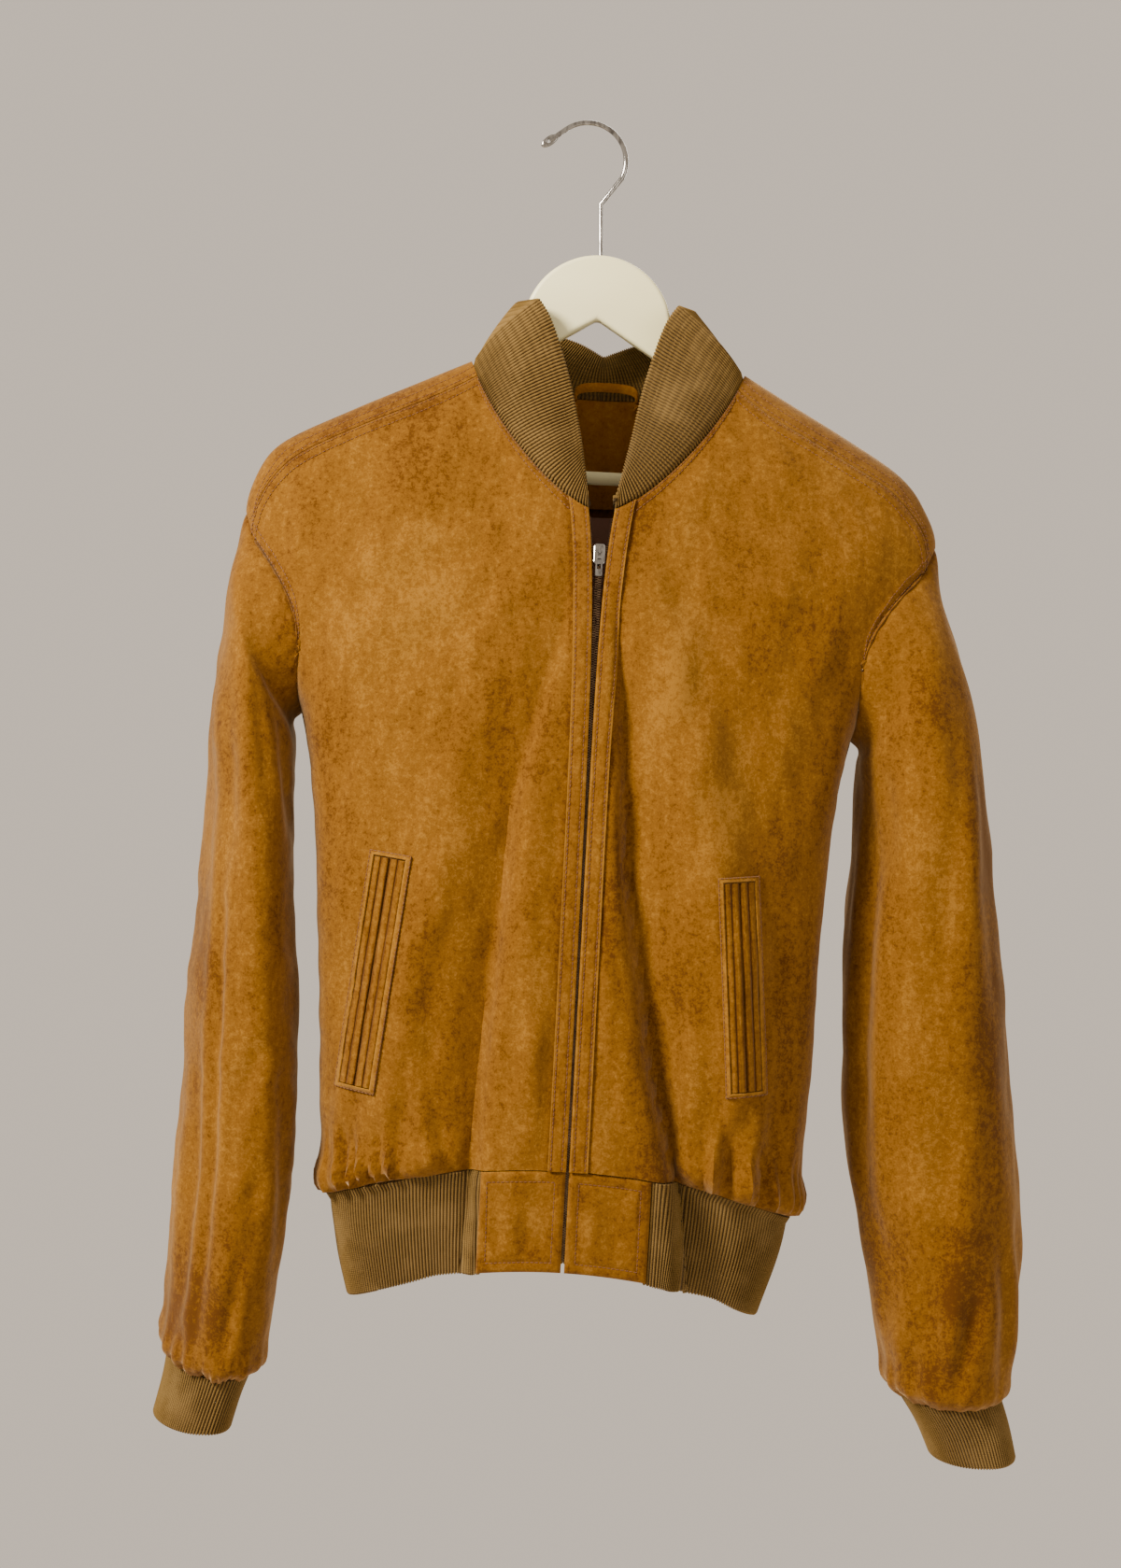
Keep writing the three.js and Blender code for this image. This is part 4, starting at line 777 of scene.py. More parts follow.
for name, side in (("left", -1), ("right", 1)):
    plain, creased = creased_front(side, 4 + side)
    tone = suede_tones(creased, 21 + side, FRONT_HIGHLIGHTS_AND_RUBS, FRONT_SHADE_AND_STAINS)
    # Painted shadow: a dark line on the panel just beyond the placket's outer edge.
    from_placket = np.abs(creased[..., 0] - ZIP["x"]) - zip_gap(creased[..., 2]) - PLACKET["width"]
    tone = tone - 0.32 * bell(from_placket - 1.2, 1.3)
    # Painted shade in the groove at each neck, shoulder and armhole seam, and a slightly darker band over the
    # seam allowance.
    seams = np.minimum(from_edge(creased, "top"), from_edge(creased, "end" if side > 0 else "start"))
    tone = tone - 0.22 * bell(seams, 1.6) - 0.1 * bell(seams - 6, 4)
    piece = cloth(f"front_panel_{name}", creased, 1.6, tone)
    settle(piece, suede, "suede", f"front_{name}")
    declare(plain)
    fronts[name] = {"plain": plain, "net": creased, "piece": piece}

# %% [markdown]
# ## Stitches
# Each stitch is a short length of thread that dips in at both ends. One is modelled, and copies of it are
# laid along lines set in from the seams. All the stitches of one piece are one mesh.

# %% One stitch, and a run of them
def one_stitch():
    deselect_all()
    bpy.ops.mesh.primitive_uv_sphere_add(segments=6, ring_count=5, radius=1, rotation=(0, math.pi / 2, 0))
    stitch = bpy.context.object
    edit(stitch, lambda: bpy.ops.transform.resize(value=(1.25, 0.36, 0.34)))
    deselect_all()
    stitch.select_set(True)
    bpy.ops.object.transform_apply(location=True, rotation=True, scale=True)
    corners = np.array([v.co for v in stitch.data.vertices])
    faces = [tuple(p.vertices) for p in stitch.data.polygons]
    bpy.data.objects.remove(stitch)
    return corners, faces


STITCH_CORNERS, STITCH_FACES = one_stitch()
THREAD = {"pitch": 3.1, "lift": 0.12}


def stitch_run(line, normals, pitch=THREAD["pitch"]):
    lengths = np.concatenate([[0], np.cumsum(np.linalg.norm(np.diff(line, axis=0), axis=1))])
    at = np.arange(pitch / 2, lengths[-1], pitch)
    middle = np.stack([np.interp(at, lengths, line[:, i]) for i in range(3)], -1)
    ahead = np.stack([np.interp(at + 0.8, lengths, line[:, i]) for i in range(3)], -1)
    up = unit(np.stack([np.interp(at, lengths, normals[:, i]) for i in range(3)], -1))
    along = unit(ahead - np.stack([np.interp(at - 0.8, lengths, line[:, i]) for i in range(3)], -1))
    side = unit(np.cross(up, along))
    up = np.cross(along, side)
    turned = (STITCH_CORNERS[None, :, 0:1] * along[:, None] + STITCH_CORNERS[None, :, 1:2] * side[:, None]
              + STITCH_CORNERS[None, :, 2:3] * up[:, None])
    return middle[:, None] + up[:, None] * THREAD["lift"] + turned


def stitches(name, runs, finish):
    corners = np.concatenate([stitch_run(*run) for run in runs if len(run[0]) > 1])
    count, each = corners.shape[:2]
    faces = [tuple(c + k * each for c in face) for k in range(count) for face in STITCH_FACES]
    mesh = bpy.data.meshes.new(name)
    mesh.from_pydata(hung(corners.reshape(-1, 3)).tolist(), [], faces)
    piece = bpy.data.objects.new(name, mesh)
    bpy.context.scene.collection.objects.link(piece)
    for polygon in mesh.polygons:
        polygon.use_smooth = True
    settle(piece, finish, "suede")
    print(f"{name}: {count} stitches")
    return piece


def thread_finish(name, colour, shadow):
    material, tree, shader = new_finish(name, 0.55, Sheen_Weight=0.2, Specular_IOR_Level=0.35)
    twist = noise(tree, places(tree, (1, 1, 1)), 1500, 2, 0.5)
    tree.links.new(mixed(tree, span(tree, twist, 0.35, 0.65), shadow, colour), shader.inputs["Base Color"])
    bump(tree, shader, twist, 0.0002, 0.5)
    return material


thread = thread_finish("brown_thread", (0.20, 0.068, 0.008, 1), (0.09, 0.026, 0.003, 1))

# %% Topstitching on the fronts
for name, side in (("left", -1), ("right", 1)):
    net = fronts[name]["net"]
    normals = net_normals(net)
    outer = "end" if side > 0 else "start"
    runs = []
    for row in STITCH_ROWS:
        line, up = line_in(net, "top", row, normals)
        beyond = np.abs(line[:, 0] - ZIP["x"]) > 16
        runs.append((line[beyond], up[beyond]))
        line, up = line_in(net, outer, row, normals)
        runs.append((line[line[:, 2] > ARM["pit"] + 4], up[line[:, 2] > ARM["pit"] + 4]))
    fronts[name]["stitches"] = stitches(f"front_stitches_{name}", runs, thread)

# %% [markdown]
# ## The back
# The back is cut in one, and it runs forward over the shoulder ridge to the forward shoulder seams. Its net
# is one main grid and two strips over the ridge, welded where they share an edge.

# %% The back's nets
BACK_CREASES = [
    (-150, -260, -60, -420, 14, -2.4), (150, -260, 62, -430, 14, -2.4), (-30, -300, -44, -520, 16, -2.0),
    (36, -280, 30, -470, 15, -1.8), (-110, -420, -120, -600, 13, -2.6), (120, -440, 128, -620, 13, -2.4),
    (-90, -560, -84, -660, 8, -2.8), (-140, -580, -150, -670, 8, -2.8), (-40, -570, -44, -640, 8, -2.2),
    (20, -560, 14, -640, 9, -2.4), (70, -570, 78, -652, 8, -2.6), (108, -590, 100, -660, 7, -2.6),
    (150, -590, 158, -672, 7, -2.8), (-60, -170, -150, -210, 12, -1.4), (64, -166, 150, -206, 12, -1.4),
    (-180, -300, -174, -460, 12, 1.8), (182, -300, 174, -460, 12, 1.8), (-10, -200, -6, -330, 18, 1.6),
]
BACK_NECK_END = 0.42


def back_nets():
    down = np.concatenate([12 * (np.arange(11) / 11) ** 2, np.arange(12, 572, 3.1)]) / 572
    down[-1] = 1
    halves = {}
    for side in (1, -1):
        def ridge(t):
            return np.full(np.shape(t), side * 90.0), ridge_z(lerp(NECK["half"], BODY_HALF_TOP, t))

        def top(u):
            neck = neck_place(side, 2 - np.minimum(u / BACK_NECK_END, 1))
            over = ridge(np.maximum((u - BACK_NECK_END) / (1 - BACK_NECK_END), 0))
            return np.where(u < BACK_NECK_END, neck[0], over[0]), np.where(u < BACK_NECK_END, neck[1], over[1])

        def foot(u):
            angle = side * (180 - 90 * u)
            return angle, hem_z(angle)

        def centre(v):
            return np.full(np.shape(v), side * 180.0), lerp(NECK["back"], float(hem_z(180.0)), v)

        across = np.concatenate([np.linspace(0, BACK_NECK_END, 30)[:-1], lerp(BACK_NECK_END, 1, OVER_SHOULDER)])
        flat = patch(top, foot, centre, panel_side(side, "back", 0.0), across, down)
        main = body_point(180 - flat[0], flat[1])
        seam, upper = shoulder_seam(side, OVER_SHOULDER), ridge(OVER_SHOULDER)
        seam = [np.array(s, float) for s in np.broadcast_arrays(*seam)]
        seam[0][0], seam[1][0] = neck_place(side, NECK_STEP)
        t = np.linspace(0, 1, 12)[:-1, None] ** 0.7
        z = lerp(seam[1], upper[1], t)
        reach = lerp(section(seam[1], HALF) * np.sin(np.radians(np.abs(seam[0]))), section(upper[1], HALF), t)
        angle = side * np.degrees(np.arcsin(np.clip(reach / section(z, HALF), 0, 1)))
        strip = np.concatenate([body_point(angle, z), main[:1, len(across) - len(OVER_SHOULDER):]])
        halves[side] = main, strip
    main = np.concatenate([halves[1][0][:, ::-1], halves[-1][0][:, 1:]], 1)
    return main, halves[1][1][:, ::-1], halves[-1][1]


def creased_back():
    main, right, left = back_nets()
    normals = net_normals(main)
    x, z = main[..., 0], main[..., 2]
    foot, run = from_edge(main, "foot"), run_lengths(main, 1)
    top, start, end = (from_edge(main, edge) for edge in ("top", "start", "end"))
    facing = np.clip(normals[..., 1] * 1.6, 0, 1) * smooth(top, 2, 14)
    rise = crease_rise(BACK_CREASES, x, z) * facing * smooth(foot, 0, 14)
    rise += (1.0 * swell(x, z, 70, 31) + 0.35 * swell(x, z, 21, 32)) * facing
    rise += (gathers(run, foot, 2.2) * smooth(foot, 0, 3) + 4.6 * bell(foot - 13, 13)
             - 1.2 * bell(foot, 3))
    beside = np.minimum(start, end)
    rise += (seam_relief(beside) + pucker(run_lengths(main, 0), beside, 6)) * smooth(top, 2, 12) * 0.8
    return main, main + normals * rise[..., None], right, left


# Paler patches: painted highlights on the back's fold ridges, which also stand for rubbed nap. Darker patches:
# painted shade in its fold valleys, with stains.
BACK_HIGHLIGHTS_AND_RUBS = [
    (0, -220, 90, 60, 0.12), (-90, -380, 40, 90, 0.1), (100, -420, 40, 90, 0.1), (10, -520, 40, 60, 0.06),
]
SHOULDER_SHADE = [(-150, -130, 60, 30, -0.2)]
BACK_SHADE_AND_STAINS = [(-60, -480, 30, 60, -0.12), (60, -300, 40, 40, -0.1), (140, -560, 30, 60, -0.12)]
plain_back, back_net, strip_right, strip_left = creased_back()
more = [(strip, suede_tones(strip, 33, (), SHOULDER_SHADE)) for strip in (strip_right, strip_left)]
back = cloth("back_panel", back_net, 1.6, suede_tones(back_net, 30, BACK_HIGHLIGHTS_AND_RUBS, BACK_SHADE_AND_STAINS), more=more)
settle(back, suede, "suede", "back")

# %% Topstitching on the back: neck, shoulder seams, armholes
back_normals = net_normals(back_net)
runs = []
for row in STITCH_ROWS:
    for edge in ("start", "end"):
        line, up = line_in(back_net, edge, row, back_normals)
        high = line[:, 2] > ARM["pit"] + 4
        runs.append((line[high], up[high]))
    line, up = line_in(back_net, "top", row, back_normals)
    at_neck = np.abs(line[:, 0] - NECK["middle"]) < 84
    runs.append((line[at_neck], up[at_neck]))
    for strip in (strip_right, strip_left):
        runs.append(line_in(strip, "top", row, net_normals(strip)))
stitches("back_stitches", runs, thread)

# %% [markdown]
# ## The sleeves
# A sleeve is one tube, set into the armhole and gathered into its cuff. It is found as rings: the armhole,
# then sections that turn and shift as the sleeve hangs. Between the rings the cloth glides, then creases are
# pressed into the tube along its own normals.

# %% Sleeve sections: height, out from the middle, forward, half width, half depth, turn, outer rise, pitch
SLEEVES = {
    "left": [
        (-290, 227, 0, 24, 48, 0, 55, 0), (-312, 229, 0, 27, 56, 3, 43, 0), (-346, 231, 0, 30, 62, 8, 25, 0),
        (-400, 230, 1, 30, 68, 12, 10, 0), (-450, 230, 2, 33, 71, 14, 3, 0), (-500, 230, 3, 35, 73, 16, 0, 0),
        (-560, 229, 4, 38, 74, 17, -1, 0), (-620, 228, 4, 40, 74, 18, -2, 0), (-680, 230, 4, 39, 72, 20, -2, 2),
        (-730, 233, 4, 37, 68, 21, -2, 5), (-768, 236, 5, 36, 63, 23, -2, 8),
        (-790, 238, 5, 33, 58, 24, -2, 10),
        (-799, 239, 5, 27, 50, 25, -2, 9),
    ],
    "right": [
        (-290, 230, 0, 27, 48, 0, 55, 0), (-312, 236, 0, 33, 55, -5, 43, 0), (-346, 243, 0, 39, 60, -11, 25, 0),
        (-400, 249, 1, 44, 65, -16, 12, 0), (-450, 252, 2, 49, 67, -18, 6, 0),
        (-500, 256, 3, 53, 68, -20, 4, 0),
        (-560, 262, 4, 57, 67, -20, 3, 0), (-620, 269, 4, 59, 65, -20, 2, 0), (-680, 278, 4, 56, 62, -20, 2, 1),
        (-730, 284, 4, 52, 58, -20, 2, 3), (-768, 287, 4, 47, 53, -18, 2, 5), (-789, 289, 4, 42, 48, -16, 2, 6),
        (-798, 291, 4, 36, 41, -14, 2, 5),
    ],
}
CUFFS = {
    "left": [
        (-799.6, 239, 5, 27, 50, 25, -2, 9), (-822, 244, 5, 25, 48, 25, -1, 4),
        (-848, 250, 5, 25, 47, 25, 0, 0),
    ],
    "right": [
        (-798.6, 291, 4, 36, 41, -14, 2, 5), (-820, 302, 4, 32, 40, -12, 2, 2),
        (-844, 311, 4, 29, 40, -10, 2, 0),
    ],
}


def ring(side, row, around):
    z, x, y, half, deep, turn, rise, pitch = row
    turn, around = math.radians(turn), np.radians(around)
    out, ahead = np.cos(around) * half, np.sin(around) * deep
    return np.stack([
        side * (x + out * math.cos(turn) - ahead * math.sin(turn)),
        y - out * math.sin(turn) - ahead * math.cos(turn),
        z + rise * np.cos(around) - pitch * np.sin(around),
    ], -1)


def armhole_ring(side, around):
    along = np.where(around <= 180, around / 180, 2 - around / 180)
    front = body_point(*armhole_place(side, "front", along))
    behind = body_point(*armhole_place(side, "back", along))
    return np.where((around <= 180)[:, None], front, behind) - np.array([side * 0.5, 0, 0])


# %% Creases of the sleeves: from (degrees round, height) to the same, width, depth
SLEEVE_CREASES = {
    "left": [
        (44, -430, 40, -800, 6, -4.6), (20, -560, 24, -802, 9, -4.2), (60, -330, 52, -470, 10, -2.0),
        (100, -300, 88, -420, 12, -2.0), (130, -310, 140, -430, 10, -2.4), (70, -520, 76, -680, 13, -1.6),
        (98, -600, 92, -770, 12, -2.2), (118, -560, 124, -740, 9, -1.8), (76, -700, 70, -796, 8, -2.8),
        (0, -330, 6, -520, 14, -2.4), (-30, -400, -24, -620, 14, -2.6), (-70, -360, -64, -560, 16, -2.6),
        (-110, -380, -104, -620, 16, -2.4), (-150, -420, -146, -640, 14, -2.4),
        (170, -420, 166, -660, 12, -2.6),
        (-40, -640, -50, -796, 10, -3.2), (-90, -640, -84, -796, 10, -3.2), (-130, -680, -140, -796, 10, -2.8),
        (150, -660, 158, -796, 9, -2.6), (56, -620, 120, -560, 10, -1.4), (60, -690, 118, -640, 9, -1.4),
    ],
    "right": [
        (168, -345, 170, -690, 8, -4.2), (148, -330, 156, -470, 8, -2.0), (132, -360, 134, -640, 16, 3.0),
        (104, -340, 110, -520, 12, -2.4), (80, -320, 84, -430, 10, -2.2), (60, -360, 66, -560, 12, -2.6),
        (36, -420, 40, -620, 14, -2.6), (112, -560, 108, -720, 12, -2.2), (92, -620, 96, -780, 9, -2.6),
        (70, -640, 62, -790, 9, -3.0), (126, -690, 120, -796, 8, -3.4), (100, -720, 104, -798, 7, -3.4),
        (142, -700, 146, -796, 8, -3.2), (10, -400, 6, -620, 16, -2.6), (-40, -380, -36, -600, 16, -2.6),
        (-90, -380, -84, -620, 16, -2.6), (-140, -400, -136, -620, 14, -2.4), (-20, -640, -28, -796, 10, -3.2),
        (-70, -650, -64, -796, 10, -3.2), (-120, -660, -128, -796, 10, -3.0), (40, -660, 34, -796, 9, -3.0),
        (72, -470, 128, -440, 10, -1.3), (70, -600, 126, -560, 10, -1.6), (84, -690, 136, -664, 8, -1.6),
    ],
}
SLEEVE_STAINS = {
    "left": [
        (-262, -480, 12, 26, -0.5), (-250, -520, 22, 30, -0.28), (-255, -640, 14, 110, -0.22),
        (-244, -770, 30, 40, -0.4), (-262, -330, 16, 60, -0.2), (-226, -640, 24, 60, -0.12),
        (-232, -470, 16, 90, 0.12), (-215, -430, 12, 60, 0.12),
    ],
    "right": [
        (292, -390, 14, 44, -0.5), (296, -430, 12, 26, -0.4),
        (262, -300, 34, 30, -0.2), (306, -560, 20, 120, -0.3),
        (290, -700, 24, 60, -0.36), (262, -780, 40, 22, -0.3),
        (240, -450, 16, 120, 0.16), (262, -560, 14, 60, 0.14),
        (262, -690, 16, 50, 0.18), (276, -460, 14, 34, 0.14),
        (318, -480, 10, 60, -0.3), (226, -600, 8, 160, -0.2),
    ],
}


def sleeve_net(name, side):
    around = np.linspace(0, 360, 133)
    rings = np.array([armhole_ring(side, around), *(ring(side, row, around) for row in SLEEVES[name])])
    steps = np.linalg.norm(np.diff(rings, axis=0), axis=-1).mean(1)
    order = np.concatenate([[0], np.cumsum(steps)])
    at = stations(order[-1], 13, 12, 1.2, 3.4) * order[-1]
    points = glide(order, rings, at)
    if side > 0:
        points, around = points[:, ::-1], around[::-1]
    return points, around, order[-1] - at, at


def creased_sleeve(name, side, seed):
    points, around, from_cuff, from_head = sleeve_net(name, side)
    normals = net_normals(points, closed=True)
    level = points[..., 2].mean(1, keepdims=True)
    turned, level = np.broadcast_arrays(around[None], level)
    rise = crease_rise(SLEEVE_CREASES[name], turned, level, turn=360.0)
    from_cuff, from_head = from_cuff[:, None], from_head[:, None]
    swells = 1.0 * swell(points[..., 1] * 1.1, points[..., 2], 62, seed)
    swells = swells + 0.4 * swell(points[..., 1], points[..., 2], 20, seed + 3)
    rise = (rise + swells) * smooth(from_head, 10, 60) * smooth(from_cuff, 0, 10)
    # Whole pleats in a full turn, so that the two edges of the tube still meet.
    wander = 9 * np.sin(np.radians(turned * 2) + seed) + 6 * np.sin(np.radians(turned * 3) - seed)
    pleat = np.sin(np.radians((turned + wander) * 17)) + 0.5 * np.sin(np.radians((turned - wander) * 29))
    uneven = 0.6 + 0.4 * np.sin(np.radians(turned) + seed)
    rise += 2.1 * pleat * np.clip(1 - from_cuff / 42, 0, 1) ** 1.3 * uneven
    rise += 3.2 * bell(from_cuff - 11, 10)
    rise += -0.8 * bell(from_head, 2) + 0.9 * bell(from_head - 8, 9)
    sway = 40 * np.sin(np.radians(turned * 2))
    head = 1.1 * np.sin(np.radians(turned * 23 + sway)) * np.exp(-(from_head / 14))
    rise += 0.35 * head
    rise[:, -1] = rise[:, 0]
    return points, points + normals * rise[..., None]


sleeves = {}
for name, side in (("left", -1), ("right", 1)):
    plain, creased = creased_sleeve(name, side, 40 + side)
    creased[:, -1] = creased[:, 0]
    tone = suede_tones(creased, 50 + side, (), SLEEVE_STAINS[name])
    # Painted shade in the groove where the sleeve is set into the armhole.
    tone = tone - 0.28 * bell(run_lengths(creased, 0), 3)
    tone[:, -1] = tone[:, 0]
    piece = cloth(f"sleeve_tube_{name}", creased, 1.6, tone, closed=True)
    settle(piece, suede, "suede", f"sleeve_{name}")
    declare(plain)
    sleeves[name] = piece

# %% [markdown]
# ## Rib-knit bands
# Collar, cuffs and waistband are doubled rib knit. Each is one closed strip: it goes up the outer face,
# rolls over at the fold and comes down the inner face. The ribs are real ridges, four points to a rib.

# %% A doubled rib band from its outer face
RIB = {"thick": 2.6, "height": 0.62}
RIB_SHAPE = np.array([-1.0, 0.35, 1.0, 0.35])  # a narrow groove, then a rounded rib


def even_columns(points, count):
    """The same face with its columns spread evenly along its middle line."""
    middle = points[points.shape[0] // 2]
    run = np.concatenate([[0], np.cumsum(np.linalg.norm(np.diff(middle, axis=0), axis=1))])
    at = np.linspace(0, run[-1], count)
    rows = [np.stack([np.interp(at, run, row[:, i]) for i in range(3)], -1) for row in points]
    return np.stack(rows), run[-1]


def rib_band(name, face, closed=False):
    """face runs from the fold, its first row, down to the seam."""
    length = run_lengths(face, 1)[face.shape[0] // 2, -1]
    ribs = round(length / RIB_PITCH)
    columns = ribs * 4 + 1
    face, length = even_columns(face, columns)
    if closed:
        face[:, -1] = face[:, 0]
    normals = net_normals(face, closed)
    if closed:
        normals[:, -1] = normals[:, 0]
    profile = RIB_SHAPE[np.arange(columns) % 4] * RIB["height"]
    outer = face + normals * profile[None, :, None]
    inner = face - normals * (RIB["thick"] + profile)[None, :, None]
    over = []
    up = unit(face[0] - face[1])
    middle = face[0] - normals[0] * RIB["thick"] / 2
    for turn in (math.pi * 0.25, math.pi * 0.5, math.pi * 0.75):
        reach = (RIB["thick"] / 2 + profile)[:, None]
        over.append(middle + reach * (normals[0] * math.cos(turn) + up * math.sin(turn)))
    rows = np.concatenate([inner[::-1], np.array(over[::-1]), outer, inner[-1:]])
    columns_at = np.arange(columns) * RIB_PITCH / 4 + RIB_PITCH / 2
    uv = np.stack(np.broadcast_arrays(columns_at[None] * MM, run_lengths(rows, 0)[:, :1] * MM), -1)
    piece = net_to_mesh(name, rows, uv=uv)
    closing = [weld] if closed else [weld, lambda: bpy.ops.mesh.fill_holes(sides=0)]
    edit(piece, *closing)
    shade(piece, 70)
    print(f"{name}: {ribs} ribs, {len(piece.data.polygons)} faces, {length:.0f} mm long")
    return piece, net_area(face), length


# %% [markdown]
# ## The collar
# The collar stands from the neck seam and leans on the hanger. Its free edge is given by a table, from the
# zip past the shoulders to the centre back.

# %% The collar's free edge: along the neck, place on the left, on the right, forward, up
COLLAR = np.array([
    (0, 0, 19, -57, -178), (0.2, -5, 23, -55, -160), (0.42, -10, 29, -51, -134), (0.66, -20, 38, -41, -91),
    (0.84, -35, 50, -26, -50), (1, -50, 64, -12, -31), (1.12, -60, 70, 6, -38), (1.25, -55, 64, 22, -43),
    (1.5, -33, 44, 38, -51), (1.75, -12, 26, 45, -57), (2, 6, 6, 47, -66),
], float)


TUCKED = {"down": 2.4, "in": 1.9}  # a band's seam allowance, under the edge of the suede


def collar_face():
    along = np.concatenate([np.linspace(0, 0.93, 120), np.linspace(1.09, 2, 90)])
    up = np.linspace(0, 1, 19)

    def strip(side):
        seam = body_point(*neck_place(side, along))
        column = 1 if side < 0 else 2
        edge = np.stack([glide(COLLAR[:, 0], COLLAR[:, c], along) for c in (column, 3, 4)], -1)
        height = np.linalg.norm(edge - seam, axis=-1, keepdims=True)
        start = lerp(seam, edge, -TUCKED["down"] / height)
        turn = np.radians(70 * np.minimum(along, 1))
        ahead = np.where(along < 1, -np.cos(turn), 1)
        out = unit(np.stack([side * np.sin(turn), ahead, np.zeros_like(along)], -1))
        bow = 5 * np.minimum(1, height / 50) ** 2
        t = up[:, None, None]
        inward = unit((seam - np.array([NECK["middle"], 0, 0])) * np.array([1, 1, 0]))
        under = TUCKED["in"] * (1 - smooth(t * (height + TUCKED["down"]), TUCKED["down"], TUCKED["down"] + 3))
        return lerp(start[None], edge[None], t) + out[None] * bow[None] * np.sin(math.pi * t) - inward * under

    right, left = strip(1), strip(-1)
    face = np.concatenate([right, left[:, ::-1][:, 1:]], 1)[::-1]
    run = run_lengths(face, 1)
    normals = net_normals(face)
    t = (run_lengths(face, 0) / run_lengths(face, 0)[-1:])
    wave = 1.3 * np.sin(run / 31 + 1.1) + 0.8 * np.sin(run / 17 + 0.4)
    return face + normals * (wave * (1 - t) ** 1.5 * smooth(t, 0, 0.1))[..., None]


collar, collar_area, collar_length = rib_band("collar_band", collar_face())
settle(collar, rib_knit, "rib_knit", "collar")

# %% [markdown]
# ## Cuffs
# A cuff is the same doubled knit as a tube. It narrows from the gathered sleeve to the wrist and turns over
# at its free edge, so its face is given from the wrist up.

# %% Both cuffs
cuffs = {}
for name, side in (("left", -1), ("right", 1)):
    around = np.linspace(0, 360, 361)
    rings = np.array([ring(side, row, around) for row in CUFFS[name]])
    order = np.array([0, 23.0, 49.0])
    face = glide(order, rings, np.linspace(0, order[-1] - 1.5, 14))
    if side > 0:
        face = face[:, ::-1]
    # The face is turned over twice, top to bottom and end to end, so that it still points outwards.
    face = face[::-1, ::-1]
    piece, area, length = rib_band(f"cuff_band_{name}", face, closed=True)
    settle(piece, rib_knit, "rib_knit", f"cuff_{name}")
    cuffs[name] = piece

# %% [markdown]
# ## The waistband
# Rib knit goes round from one suede tab to the other. The weight of the fronts folds it into a Z just beyond
# each tab. The tabs are suede, topstitched all round.

# %% The waist rib
TABS = {"left": 60, "right": 58}
SEAM = 0.3


def band_place(across, drop):
    z = hem_z(front_angle(ZIP["x"] + across, HEM["centre"] - drop)) - drop
    return front_angle(ZIP["x"] + across, z), z


def rib_folds(x, in_front):
    """The knit's Z-folds beside the tabs, as how far it stands out or in."""
    rise = 4.5 * bell(x - 84, 10) - 4.0 * bell(x - 108, 11)
    rise = rise + 2.6 * bell(x + 68, 9) - 2.6 * bell(x + 88, 11)
    return np.where(in_front, rise, 0)


def waist_face():
    drops = np.linspace(0.6, HEM["rib"] + 0.6, 15)
    rows = []
    for drop in drops:
        start = float(band_place(TABS["right"] - TUCKED["down"], drop)[0])
        end = 360 + float(band_place(TUCKED["down"] - TABS["left"], drop)[0])
        angle = np.linspace(start, end, 900)
        rows.append(body_point(angle, hem_z(np.where(angle > 180, 360 - angle, angle)) - drop))
    face = np.array(rows)
    normals = net_normals(face)
    x, run = face[..., 0], run_lengths(face, 1)
    t = np.linspace(0, 1, len(drops))[:, None]
    folds = rib_folds(x - 8 * t, face[..., 1] < 0) * smooth(run, 2, 16) * smooth(run[:, -1:] - run, 2, 16)
    gather = 0.9 * np.sin(run / 9 + 1.2 * np.sin(run / 37)) * (1 - t) ** 1.5
    under = (TUCKED["in"] + 0.6) * (1 - smooth(np.minimum(run, run[:, -1:] - run), 3, 7))
    rise = folds * lerp(0.5, 1, t) + gather + 0.9 * np.sin(run / 29 + 2) * t - under
    return face + normals * rise[..., None]


# The seam is at the top, so the face is turned over twice to put the fold first.
waist, waist_area, waist_length = rib_band("waist_band", waist_face()[::-1, ::-1])
settle(waist, rib_knit, "rib_knit", "waist_rib")

# %% The suede tabs beside the zip
tab_stitch_runs = []
for name, side in (("left", -1), ("right", 1)):
    across = side * lerp(ZIP["rest"] + SEAM, TABS[name] - SEAM, stations(58, 12, 12, 0.9, 2.4))
    if side < 0:
        across = across[::-1]
    drops = 0.6 + HEM["rib"] * stations(70, 12, 12, 0.9, 2.4)
    plain = np.array([body_point(*band_place(across, drop)) for drop in drops])
    edges = [from_edge(plain, e) for e in ("top", "foot", "start", "end")]
    near = np.minimum(np.minimum(edges[0], edges[1]), np.minimum(edges[2], edges[3]))
    rise = -0.9 * bell(near, 1.0) - 0.5 * bell(near - 7.5, 1.0) + 0.5 * smooth(near, 0, 3)
    rise += 0.7 * swell(plain[..., 0], plain[..., 2], 26, 70 + side) * smooth(near, 2, 14)
    net = plain + net_normals(plain) * rise[..., None]
    tone = 0.12 * swell(plain[..., 0], plain[..., 2], 24, 72 + side) + 0.1 * bell(near, 1.2) - 0.04
    piece = cloth(f"waist_tab_suede_{name}", net, 2.0, tone)
    settle(piece, suede, "suede", f"waist_tab_{name}")
    declare(plain)
    normals = net_normals(net)
    for edge in ("top", "foot", "start", "end"):
        line, up = line_in(net, edge, 7.5, normals)
        runs_off = from_edge(line[None], "start")[0]
        keep = (runs_off > 7) & (runs_off[-1] - runs_off > 7)
        tab_stitch_runs.append((line[keep], up[keep]))
stitches("waist_tab_stitches", tab_stitch_runs, thread)

# %% [markdown]
# ## Plackets
# A narrow facing of suede covers each side of the zip. Its cut edge is pale, and two rows of stitches hold
# it. It lies on the front panel, so it is made from the panel's own columns.

